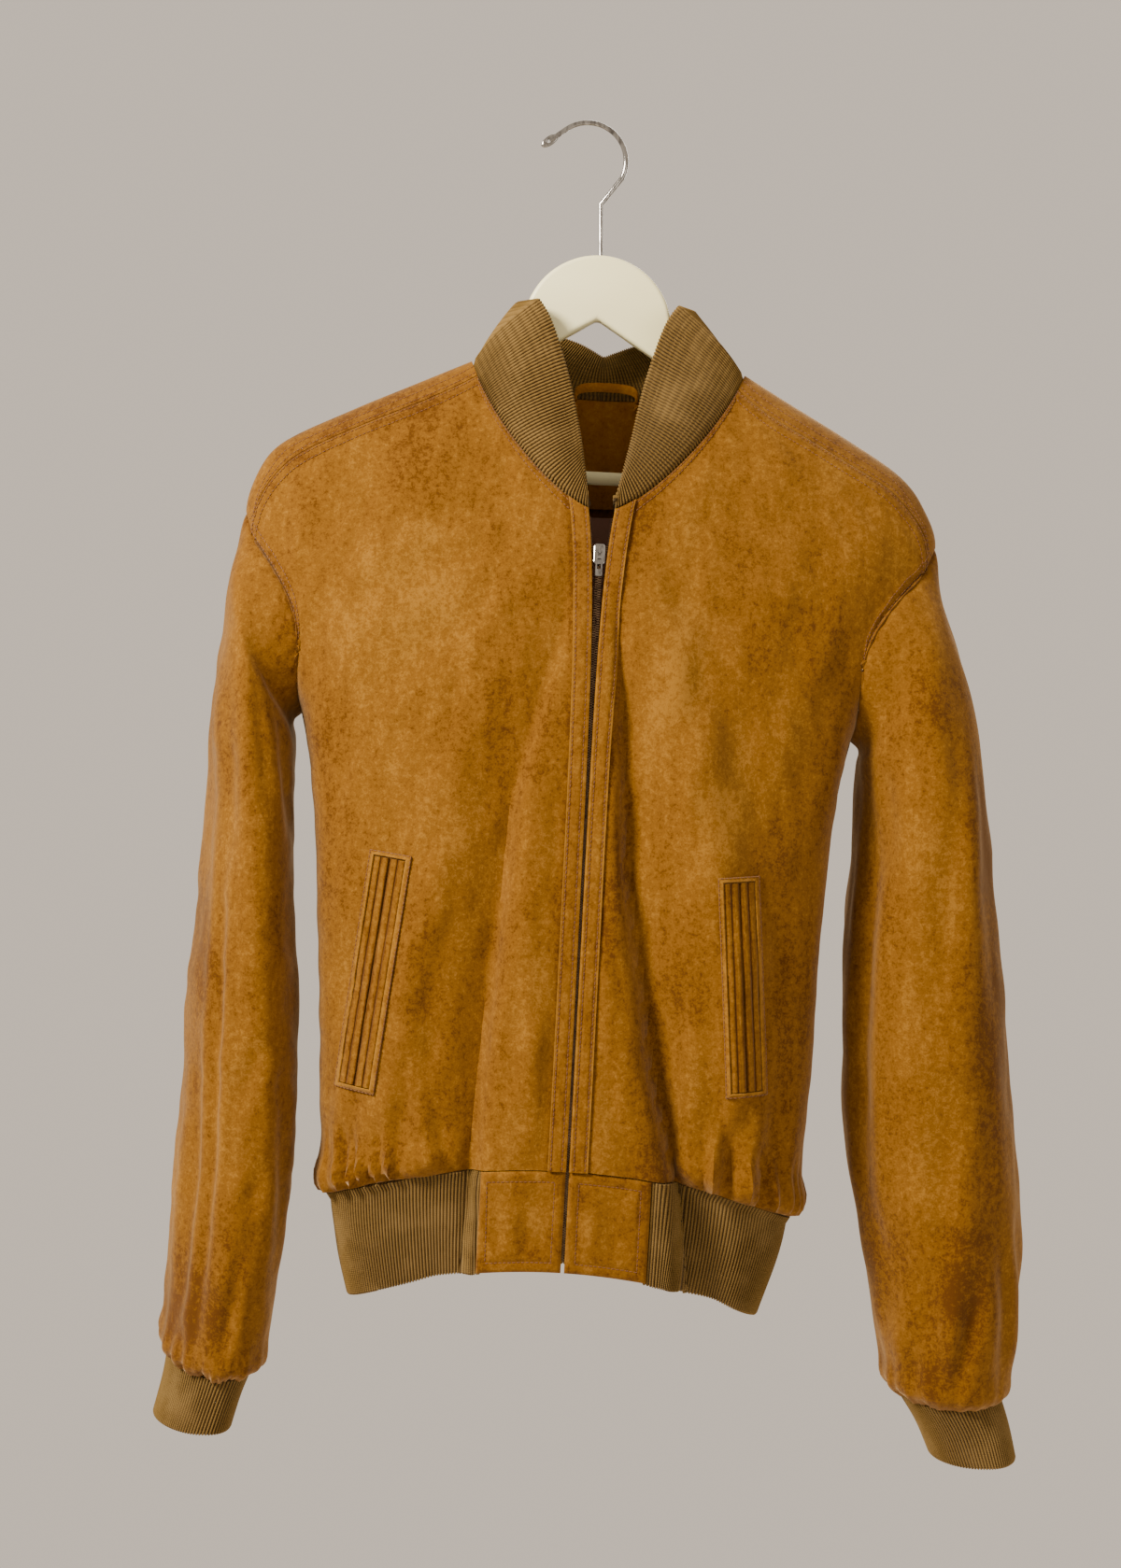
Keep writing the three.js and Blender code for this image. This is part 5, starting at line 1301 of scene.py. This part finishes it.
# %% Both plackets
placket_runs = []
for name, side in (("left", -1), ("right", 1)):
    net = fronts[name]["plain"]
    strip = net[:, :7] if side > 0 else net[:, -7:]
    t = np.linspace(0.02, 0.985, 16)
    finer = np.array([[lerp(row[int(k)], row[min(int(k) + 1, 6)], k - int(k)) for k in t * 6] for row in strip])
    normals = net_normals(finer)
    inner = from_edge(finer, "start" if side > 0 else "end")
    outer = from_edge(finer, "end" if side > 0 else "start")
    run = run_lengths(finer, 0)
    rise = 2.1 - 0.5 * bell(inner - 3, 0.9) - 0.5 * bell(outer - 2, 0.9)
    rise = rise - 0.6 * bell(inner, 0.8) - 0.3 * bell(outer, 0.7)
    rise = rise + 0.18 * np.sin(run / 4.1 + 1.3 * np.sin(run / 17)) + 0.25 * np.sin(run / 23 + side)
    face = finer + normals * rise[..., None]
    # The cut edges are paler; the dark lines beside them, in the stitched grooves, are painted shade.
    tone = 0.5 * bell(outer, 0.9) + 0.35 * bell(inner, 0.9) + 0.02
    tone = tone - 0.3 * bell(outer - 2.4, 0.7) - 0.3 * bell(inner - 3, 0.7)
    piece = cloth(f"placket_suede_{name}", face, 1.2, tone)
    settle(piece, suede, "suede", f"placket_{name}")
    declare(finer)
    normals = net_normals(face)
    placket_runs.append(line_in(face, "start" if side > 0 else "end", 3.0, normals))
    placket_runs.append(line_in(face, "end" if side > 0 else "start", 2.0, normals))
stitches("placket_stitches", placket_runs, thread)

# %% [markdown]
# ## Welt pockets
# Each pocket is a slanted window. Four narrow tucked strips fill it, two on each side of the slot, and a
# stitched edge frames it. A strip is a flat tuck with a rounded front edge, so the net across the pocket
# rises and drops over each one.

# %% Pocket places and the panel under them
POCKETS = {"left": (-123, -436, -140, -593), "right": (116, -440, 129, -582)}
WELT = {"wide": 11.4, "slot": 0.5, "proud": 2.35, "tucks": 2}


def on_front(name, x, z):
    """The front's own surface at a place across and up, by the nearest points of its net."""
    net = fronts[name]["net"].reshape(-1, 3)
    flat = net[:, [0, 2]]
    shape = np.shape(x)
    y = []
    for px, pz in zip(np.ravel(x), np.ravel(z)):
        d = (flat[:, 0] - px) ** 2 + (flat[:, 1] - pz) ** 2
        near = np.argpartition(d, 6)[:6]
        weight = 1 / (d[near] + 0.4)
        y.append((net[near, 1] * weight).sum() / weight.sum())
    return np.stack([x, np.reshape(y, shape), z], -1)


def along_pocket(name, t, gap):
    top_x, top_z, foot_x, foot_z = POCKETS[name]
    length = math.hypot(foot_x - top_x, foot_z - top_z)
    ux, uz = (foot_x - top_x) / length, (foot_z - top_z) / length
    return top_x + ux * length * t - uz * gap, top_z + uz * length * t + ux * gap


pocket_runs = []
for name in ("left", "right"):
    for lip, way in (("inner", 1 if name == "left" else -1), ("outer", -1 if name == "left" else 1)):
        gap = np.linspace(0, 1, 25)
        t = np.linspace(0, 1, 60)
        across = way * lerp(WELT["slot"], WELT["wide"], gap)
        T, G = np.meshgrid(t, across, indexing="ij")
        if way < 0:
            G = G[:, ::-1]
            gap = gap[::-1]
        base = on_front(name, *along_pocket(name, T, G))
        tuck = (gap * WELT["tucks"]) % 1.0
        tuck = np.where(gap >= 0.999, 1.0, tuck)
        profile = 1.1 * np.sin(math.pi * np.clip(tuck, 0, 1)) ** 0.45 - 1.0
        profile = profile - 0.9 * gap ** 6
        wobble = 0.3 * np.sin(T * 17 + 3 * gap[None] + len(lip)) * np.sin(math.pi * T)
        face = base + np.array([0, -1, 0]) * (WELT["proud"] + profile[None] + wobble)[..., None]
        # Painted shade darkens the grooves between the tucks and at the slot, and each tuck's crown is a little
        # paler.
        pale = 0.12 * bell(tuck - 0.5, 0.2) - 0.7 * bell(np.minimum(tuck, 1 - tuck), 0.14)
        tone = np.broadcast_to(pale[None] - 0.02, T.shape)
        piece = cloth(f"pocket_{name}_{lip}_welt", face, 1.2, np.array(tone))
        settle(piece, suede, "suede", f"pocket_{name}_{lip}_lip")
        declare(face)

# %% The stitched frames round the pockets
frames = {}
for name in ("left", "right"):
    length = math.hypot(POCKETS[name][2] - POCKETS[name][0], POCKETS[name][3] - POCKETS[name][1])
    reach = {"in": WELT["wide"] - 0.4, "out": WELT["wide"] + 3.4}
    loop = []
    for over, gap in ((0.6, reach["in"]), (1.2, reach["in"] + 0.8),
                      (3.6, reach["out"] - 0.4), (4.0, reach["out"])):
        end = over / length
        side_t, end_g = np.linspace(-end, 1 + end, 70), np.linspace(-gap, gap, 14)
        t = np.concatenate([side_t, np.full(13, 1 + end), side_t[::-1][1:], np.full(13, -end)])
        g = np.concatenate([np.full(70, -gap), end_g[1:], np.full(69, gap), end_g[::-1][1:]])
        loop.append(on_front(name, *along_pocket(name, t, g)))
    lifts = [1.7, 2.7, 1.7, 0.2]
    face = np.array([row + np.array([0, -lift, 0]) for row, lift in zip(loop, lifts)])
    face = face[:, ::-1]
    face[:, -1] = face[:, 0]
    tone = np.broadcast_to(np.array([0.3, 0.42, 0.0, 0.0])[:, None], face.shape[:2])
    if net_normals(face)[2, 10, 1] > 0:
        face = face[:, ::-1]
    piece = cloth(f"pocket_frame_{name}", face, 0.6, np.array(tone), closed=True)
    settle(piece, suede, "suede")
    frames[name] = piece
    row = face[2]
    pocket_runs.append((row, np.broadcast_to([0.0, -1.0, 0.0], row.shape)))
    declare(face)
stitches("pocket_stitches", pocket_runs, thread)

# %% [markdown]
# ## Inside the neck
# Behind the neck are a suede facing, then the lining, and a small suede loop to hang the jacket by. Facing
# and lining lie against the inside of the back, so they are made from its net, moved in.

# %% Facing and lining finishes
# The facing and the loop get a copy of the suede painted about twice as bright: painted light against the shade
# inside the neck.
facing_suede_brightened = suede_finish("facing_suede_brightened", (0.17, 0.055, 0.003, 1), (0.34, 0.135, 0.010, 1),
                            (0.46, 0.21, 0.03, 1), patchiness=0.8)


def lining_finish():
    material, tree, shader = new_finish("rose_brown_lining", 0.42, Sheen_Weight=0.3, Anisotropic=0.4,
                                        Specular_IOR_Level=0.5)
    weave = places(tree, (1, 1, 1), "UV")
    twill = add(tree, "TexWave", {"Vector": weave, "Scale": 520.0, "Distortion": 0.4},
                bands_direction="DIAGONAL")
    cloudy = noise(tree, places(tree), 18, 3, 0.5)
    colour = mixed(tree, cloudy, (0.34, 0.17, 0.12, 1), (0.52, 0.29, 0.2, 1))
    colour = mixed(tree, calc(tree, "MULTIPLY", twill, 0.25), colour, (0.22, 0.1, 0.07, 1))
    tree.links.new(colour, shader.inputs["Base Color"])
    bump(tree, shader, twill, 0.0002, 0.4)
    return material


lining_cloth = lining_finish()

# %% Facing, lining and hanging loop
columns = back_net.shape[1]
centre = columns // 2
inside = back_net - net_normals(back_net) * 2.6
level = inside[:, centre, 2]
split = int(np.argmin(np.abs(level + 178)))
facing_net = inside[2:split, centre - 34:centre + 35]
facing_piece = cloth("neck_facing_suede", facing_net, 1.5)
settle(facing_piece, facing_suede_brightened, "suede", "neck_facing")
declare(facing_net)
lining_net = inside[split + 1:-4:2, 8:-8:2]
rise = 0.7 * swell(lining_net[..., 0], lining_net[..., 2], 55, 81) - 2.6
lining_net = lining_net + net_normals(lining_net) * rise[..., None]
lining_piece = cloth("back_lining_cloth", lining_net, 0.8)
settle(lining_piece, lining_cloth, "lining", "back_lining")
declare(lining_net)

LOOP = {"wide": 6, "thick": 1.4}
loop_y = float(body_point(180, NECK["back"] - 3)[1]) - 5.0
loop_keys = np.array([
    (22, 0, -99), (21, -1.6, -89), (11, -3.2, -86), (-11, -3.2, -86), (-21, -1.6, -89), (-22, 0, -99),
])
line = glide(np.arange(6.0), loop_keys, np.linspace(0, 5, 60)) + np.array([NECK["middle"], loop_y, 0])
drop = np.linspace(0, 1, 7)[:, None, None]
bulge = 0.5 * np.sin(math.pi * drop) * np.array([0, -1, 0])
loop_net = line[None] - drop * np.array([0, 0, LOOP["wide"]]) + bulge
loop_piece = cloth("hanging_loop_suede", loop_net, LOOP["thick"])
settle(loop_piece, facing_suede_brightened, "suede", "hang_loop")
declare(loop_net)

# %% [markdown]
# ## The zip
# A metal zip: teeth on two woven tapes, a slider with a pull. The teeth are small blocks that interlock, one
# modelled and copied down each side. Above the slider the two sides part.

# %% Zip finishes
def metal_finish(name, bright, dark_reflection, roughness):
    material, tree, shader = new_finish(name, roughness, Metallic=1.0)
    marks_and_reflections = noise(tree, places(tree, (1, 1, 0.3)), 420, 3, 0.6)
    # Darker patches mixed into the metal's colour are painted reflections; the same noise gives fine marks in
    # the bump.
    tree.links.new(mixed(tree, span(tree, marks_and_reflections, 0.35, 0.75), bright, dark_reflection), shader.inputs["Base Color"])
    bump(tree, shader, marks_and_reflections, 0.00006, 0.35)
    return material


chrome = metal_finish("polished_chrome", (0.42, 0.40, 0.37, 1), (0.15, 0.14, 0.13, 1), 0.14)
brass = metal_finish("dark_brass_teeth", (0.20, 0.13, 0.075, 1), (0.06, 0.035, 0.02, 1), 0.38)


def tape_finish():
    material, tree, shader = new_finish("brown_zip_tape", 0.85, Sheen_Weight=0.2)
    weave = places(tree, (1, 1, 1), "UV")
    bands = add(tree, "TexWave", {"Vector": weave, "Scale": 380.0}, bands_direction="X")
    picks = add(tree, "TexWave", {"Vector": weave, "Scale": 620.0}, bands_direction="Y")
    thread_height = calc(tree, "MULTIPLY", bands, picks)
    colour = mixed(tree, thread_height, (0.028, 0.010, 0.004, 1), (0.085, 0.034, 0.014, 1))
    tree.links.new(colour, shader.inputs["Base Color"])
    bump(tree, shader, thread_height, 0.0003, 0.6)
    return material


zip_tape = tape_finish()

# %% Tapes and teeth
def zip_line(side, gap):
    """A line down one side of the zip, a gap out from the panel's edge, on through the waistband."""
    heights = np.linspace(-187, HEM["centre"], 320)
    upper = body_point(*beside_zip(side, gap, heights))
    drops = np.linspace(1, HEM["rib"] - 3, 40)
    lower = np.array([body_point(*band_place(side * (ZIP["rest"] + gap), drop)) for drop in drops])
    return np.concatenate([upper, lower]) + np.array([0, ZIP["behind"], 0])


for name, side in (("left", -1), ("right", 1)):
    net = np.stack([zip_line(side, gap) for gap in np.linspace(0.4, 12, 9)], 1)
    if side < 0:
        net = net[:, ::-1]
    piece = cloth(f"zip_tape_cloth_{name}", net, 0.9)
    settle(piece, zip_tape, "zip_tape", f"zip_tape_{name}")
    declare(net)

TEETH = {"pitch": 1.7, "slider": -219}


def one_tooth():
    deselect_all()
    bpy.ops.mesh.primitive_cube_add(size=1)
    tooth = bpy.context.object
    edit(tooth, lambda: bpy.ops.transform.resize(value=(2.5, 1.5, 0.95)),
         lambda: bpy.ops.mesh.bevel(offset=0.16, segments=1))
    corners = np.array([v.co for v in tooth.data.vertices])
    faces = [tuple(p.vertices) for p in tooth.data.polygons]
    bpy.data.objects.remove(tooth)
    return corners, faces


tooth_corners, tooth_faces = one_tooth()
all_corners, all_faces = [], []
for side in (-1, 1):
    edge = zip_line(side, 0.0)
    closed = smooth(TEETH["slider"] + 8 - edge[:, 2], 0, 14)
    middle_x = lerp(edge[:, 0] + side * 0.4, ZIP["x"] + side * 1.05, closed)
    line = np.stack([middle_x, edge[:, 1] + 0.1, edge[:, 2]], -1)
    run = np.concatenate([[0], np.cumsum(np.linalg.norm(np.diff(line, axis=0), axis=1))])
    for at in np.arange(6 + (side > 0) * TEETH["pitch"] / 2, run[-1] - 4, TEETH["pitch"]):
        middle = np.array([np.interp(at, run, line[:, i]) for i in range(3)])
        base = sum(len(c) for c in all_corners)
        all_corners.append(tooth_corners + middle)
        all_faces += [tuple(i + base for i in face) for face in tooth_faces]
teeth_mesh = bpy.data.meshes.new("zip_chain")
teeth_mesh.from_pydata(hung(np.concatenate(all_corners)).tolist(), [], all_faces)
teeth = bpy.data.objects.new("zip_chain", teeth_mesh)
bpy.context.scene.collection.objects.link(teeth)
settle(teeth, brass, "zip_teeth", "zip_teeth")
print("teeth:", len(all_corners))
for node in ("zip_slider", "zip_pull"):
    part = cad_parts[node]
    part.data.materials.clear()
    part.data.materials.append(chrome)

# %% [markdown]
# ## The hanger
# A shaped wooden hanger with a round crown, painted cream, with a bar between its arms. The outline starts
# as a filled circle whose corners are moved to the outline, then it is pushed out to its thickness and its
# edges are rounded with a bevel.

# %% Cream paint
def painted_finish():
    material, tree, shader = new_finish("cream_painted_wood", 0.4, Coat_Weight=0.15, Coat_Roughness=0.25)
    brush = noise(tree, places(tree, (0.35, 1, 1)), 190, 4, 0.55)
    cloudy = noise(tree, places(tree), 14, 3, 0.5)
    worn = noise(tree, places(tree), 90, 5, 0.7, 0.4)
    colour = mixed(tree, cloudy, (0.97, 0.88, 0.46, 1), (1.0, 0.95, 0.58, 1))
    colour = mixed(tree, span(tree, worn, 0.66, 0.74, 0, 0.35), colour, (0.72, 0.6, 0.36, 1))
    tree.links.new(colour, shader.inputs["Base Color"])
    bump(tree, shader, brush, 0.00015, 0.35)
    return material


cream_paint = painted_finish()

# %% The hanger's body
ARM_UNDERSIDE = [
    (50, -77), (88, -100), (130, -124), (172, -148), (187, -160), (195, -171), (205, -173), (214, -167),
                 (218, -156)]
CROWN = {"radius": 53, "apex": -46, "thick": 13, "bevel": 3.2, "room": 5}


def hanger_outline():
    ridge = [(float(section(float(z), HALF) - section(float(z), MIDDLE)), z - CROWN["room"])
             for z in (-138, -128, -114, -100, -91)]
    shoulder = [(88, -89.5), (72, -76), (60, -65), (54.5, -55)]
    turns = [math.radians(degrees) for degrees in range(78, -1, -3)]
    dome = [(math.sin(turn) * CROWN["radius"], (math.cos(turn) - 1) * CROWN["radius"]) for turn in turns]
    low = glide(np.arange(len(ARM_UNDERSIDE) + 1.0), [(0, -46), *ARM_UNDERSIDE], np.linspace(0, 9, 46))
    side = [ARM_UNDERSIDE[-1], *ridge, *shoulder, dome[0]]
    high = glide(np.arange(float(len(side))), side, np.linspace(0, len(side) - 1, 50))
    right = [(0, CROWN["apex"]), *low[2:], *high[1:], *dome[1:]]
    left = [(-x, z) for x, z in right[1:-1]][::-1]
    return np.array(right + left)


outline = hanger_outline()
deselect_all()
bpy.ops.mesh.primitive_circle_add(vertices=len(outline), radius=0.1, fill_type="NGON")
hanger = bpy.context.object
hanger.name = hanger.data.name = "hanger_wood"
flat = np.stack([outline[:, 0], np.full(len(outline), -CROWN["thick"] / 2), outline[:, 1]], -1)
hanger.data.vertices.foreach_set("co", hung(flat).astype(np.float32).ravel())
hanger.data.update()


def push_out():
    bpy.ops.mesh.extrude_region_move(TRANSFORM_OT_translate={"value": (0, CROWN["thick"] * MM, 0)})
    bpy.ops.mesh.select_all(action="SELECT")
    bpy.ops.mesh.normals_make_consistent(inside=False)


edit(hanger, push_out)
apply_modifier(hanger, "BEVEL", width=CROWN["bevel"] * MM, segments=4, limit_method="ANGLE",
               angle_limit=math.radians(60))
shade(hanger, 40)
settle(hanger, cream_paint, "painted_wood", "hanger_body")
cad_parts["hanger_bar"].data.materials.clear()
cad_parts["hanger_bar"].data.materials.append(cream_paint)
print("hanger faces:", len(hanger.data.polygons))

# %% [markdown]
# ## The hook
# One steel wire, chromed: it stands in the crown, leans to the side, goes over in an arc and ends in a
# flattened eye. A circle is spun round the arc's middle, then its first ring is pulled down to the socket
# and its last ring out to the tip.

# %% The hook's wire
HOOK = {"wire": 1.8, "bow": 27.5, "middle": -2.0, "from": -27, "to": 123}
STEM = {"kink": (7.5, -56.8), "foot": (7.5, -112.0), "tip": (-29.0, -11.0)}
bow_middle = Vector((HOOK["middle"] * MM, 0, (HOOK["wire"] - HOOK["bow"]) * MM))


def bow_point(degrees):
    turn = math.radians(degrees)
    return bow_middle + Vector((math.cos(turn), 0, math.sin(turn))) * HOOK["bow"] * MM


deselect_all()
bpy.ops.mesh.primitive_circle_add(vertices=20, radius=HOOK["wire"] * MM, location=bow_point(HOOK["from"]),
                                  rotation=(0, math.radians(-HOOK["from"]), 0))
hook = bpy.context.object
hook.name = hook.data.name = "hook_wire"
bpy.ops.object.transform_apply(location=True, rotation=True, scale=True)


def select_ring(near, reach):
    bpy.ops.mesh.select_all(action="DESELECT")
    bpy.ops.object.mode_set(mode="OBJECT")
    for v in hook.data.vertices:
        v.select = (v.co - near).length < reach
    bpy.ops.object.mode_set(mode="EDIT")
    bpy.ops.mesh.select_mode(type="EDGE")
    bpy.ops.mesh.select_mode(type="VERT")


def stretch_to(start, end):
    bpy.ops.mesh.extrude_region_move(TRANSFORM_OT_translate={"value": end - start})


def spin_and_pull():
    bpy.ops.mesh.spin(steps=48, angle=math.radians(HOOK["to"] - HOOK["from"]),
                      center=bow_middle, axis=(0, 1, 0))
    foot, kink = (Vector((STEM[k][0] * MM, 0, STEM[k][1] * MM)) for k in ("foot", "kink"))
    tip = Vector((STEM["tip"][0] * MM, 0, STEM["tip"][1] * MM))
    ring_reach = HOOK["wire"] * MM * 1.2
    select_ring(bow_point(HOOK["from"]), ring_reach)
    stretch_to(bow_point(HOOK["from"]), kink)
    stretch_to(kink, foot)
    select_ring(bow_point(HOOK["to"]), ring_reach)
    stretch_to(bow_point(HOOK["to"]), tip)
    bpy.ops.mesh.select_all(action="SELECT")
    bpy.ops.mesh.remove_doubles(threshold=0.00001)
    bpy.ops.mesh.fill_holes(sides=0)
    bpy.ops.mesh.normals_make_consistent(inside=False)


edit(hook, spin_and_pull)
print("hook corners:", len(hook.data.vertices), "spans", [round(v, 4) for v in hook.dimensions])

# %% The eye at the hook's end
deselect_all()
EYE = {"major": 2.3, "minor": 1.15}
bpy.ops.mesh.primitive_torus_add(major_segments=28, minor_segments=10, major_radius=EYE["major"] * MM,
                                 minor_radius=EYE["minor"] * MM, rotation=(math.pi / 2, 0, 0))
eye = bpy.context.object
bpy.ops.object.transform_apply(location=True, rotation=True, scale=True)
flare = bow_point(HOOK["to"]) - Vector((STEM["tip"][0] * MM, 0, STEM["tip"][1] * MM))
lean = math.atan2(flare.x, flare.z)


def draw_out():
    bpy.ops.transform.resize(value=(1, 0.8, 2.1))
    bpy.ops.transform.rotate(value=-lean, orient_axis="Y", center_override=(0, 0, 0))
    bpy.ops.transform.translate(value=(STEM["tip"][0] * MM, 0, STEM["tip"][1] * MM))


edit(eye, draw_out)
deselect_all()
eye.select_set(True)
hook.select_set(True)
bpy.context.view_layer.objects.active = hook
bpy.ops.object.join()
shade(hook, 60)
settle(hook, chrome, "bright_metal", "hanger_hook")

# %% [markdown]
# ## Floor, light and camera
# The jacket hangs clear of a plain pale floor. A large soft light stands high on the left and in front, a
# weaker one fills from the right, and the world is pale, so shadows stay soft.

# %% Floor
deselect_all()
bpy.ops.mesh.primitive_circle_add(vertices=96, radius=1.7, fill_type="NGON", location=(0, 0, -1.6))
floor = bpy.context.object
floor.name = "floor"
bpy.ops.object.transform_apply(location=True, rotation=True, scale=True)
floor_paint, tree, shader = new_finish("pale_floor", 0.8)
mottle = noise(tree, places(tree), 3, 3, 0.5)
tree.links.new(mixed(tree, mottle, (0.62, 0.57, 0.52, 1), (0.68, 0.63, 0.57, 1)), shader.inputs["Base Color"])
floor.data.materials.append(floor_paint)
floor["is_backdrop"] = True

# %% Lights and world
def soft_light(name, place, size, power, colour, aim=(0, 0, -0.5)):
    deselect_all()
    bpy.ops.object.light_add(type="AREA", location=place)
    light = bpy.context.object
    light.name = name
    light.data.shape, light.data.size, light.data.energy, light.data.color = "DISK", size, power, colour
    light.rotation_euler = (Vector(aim) - Vector(place)).to_track_quat("-Z", "Y").to_euler()
    return light


soft_light("window", (-1.7, -1.35, 0.95), 0.8, 150, (1.0, 0.93, 0.84), (0, 0, -0.3))
soft_light("fill", (1.9, -2.0, -0.3), 1.8, 12, (1.0, 0.95, 0.9))
soft_light("rim_behind", (0.6, 2.2, 0.9), 1.6, 40, (1.0, 0.96, 0.92))
world = bpy.data.worlds.new("pale_room")
bpy.context.scene.world = world
world.use_nodes = True
world.node_tree.nodes["Background"].inputs["Color"].default_value = (0.95, 0.82, 0.68, 1)
world.node_tree.nodes["Background"].inputs["Strength"].default_value = 0.8

# %% Camera
deselect_all()
bpy.ops.object.camera_add(location=(-0.0214, -1.75, -0.472), rotation=(math.pi / 2, 0, 0))
camera = bpy.context.object
camera.data.sensor_fit = "AUTO"
camera.data.sensor_width = 36
camera.data.lens = 56.07
camera.data.clip_start, camera.data.clip_end = 0.05, 30
bpy.context.scene.camera = camera

# %% Sizes, and the end
low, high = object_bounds()
print("visual box, metres:", [round(v, 4) for v in (*low, *high)])
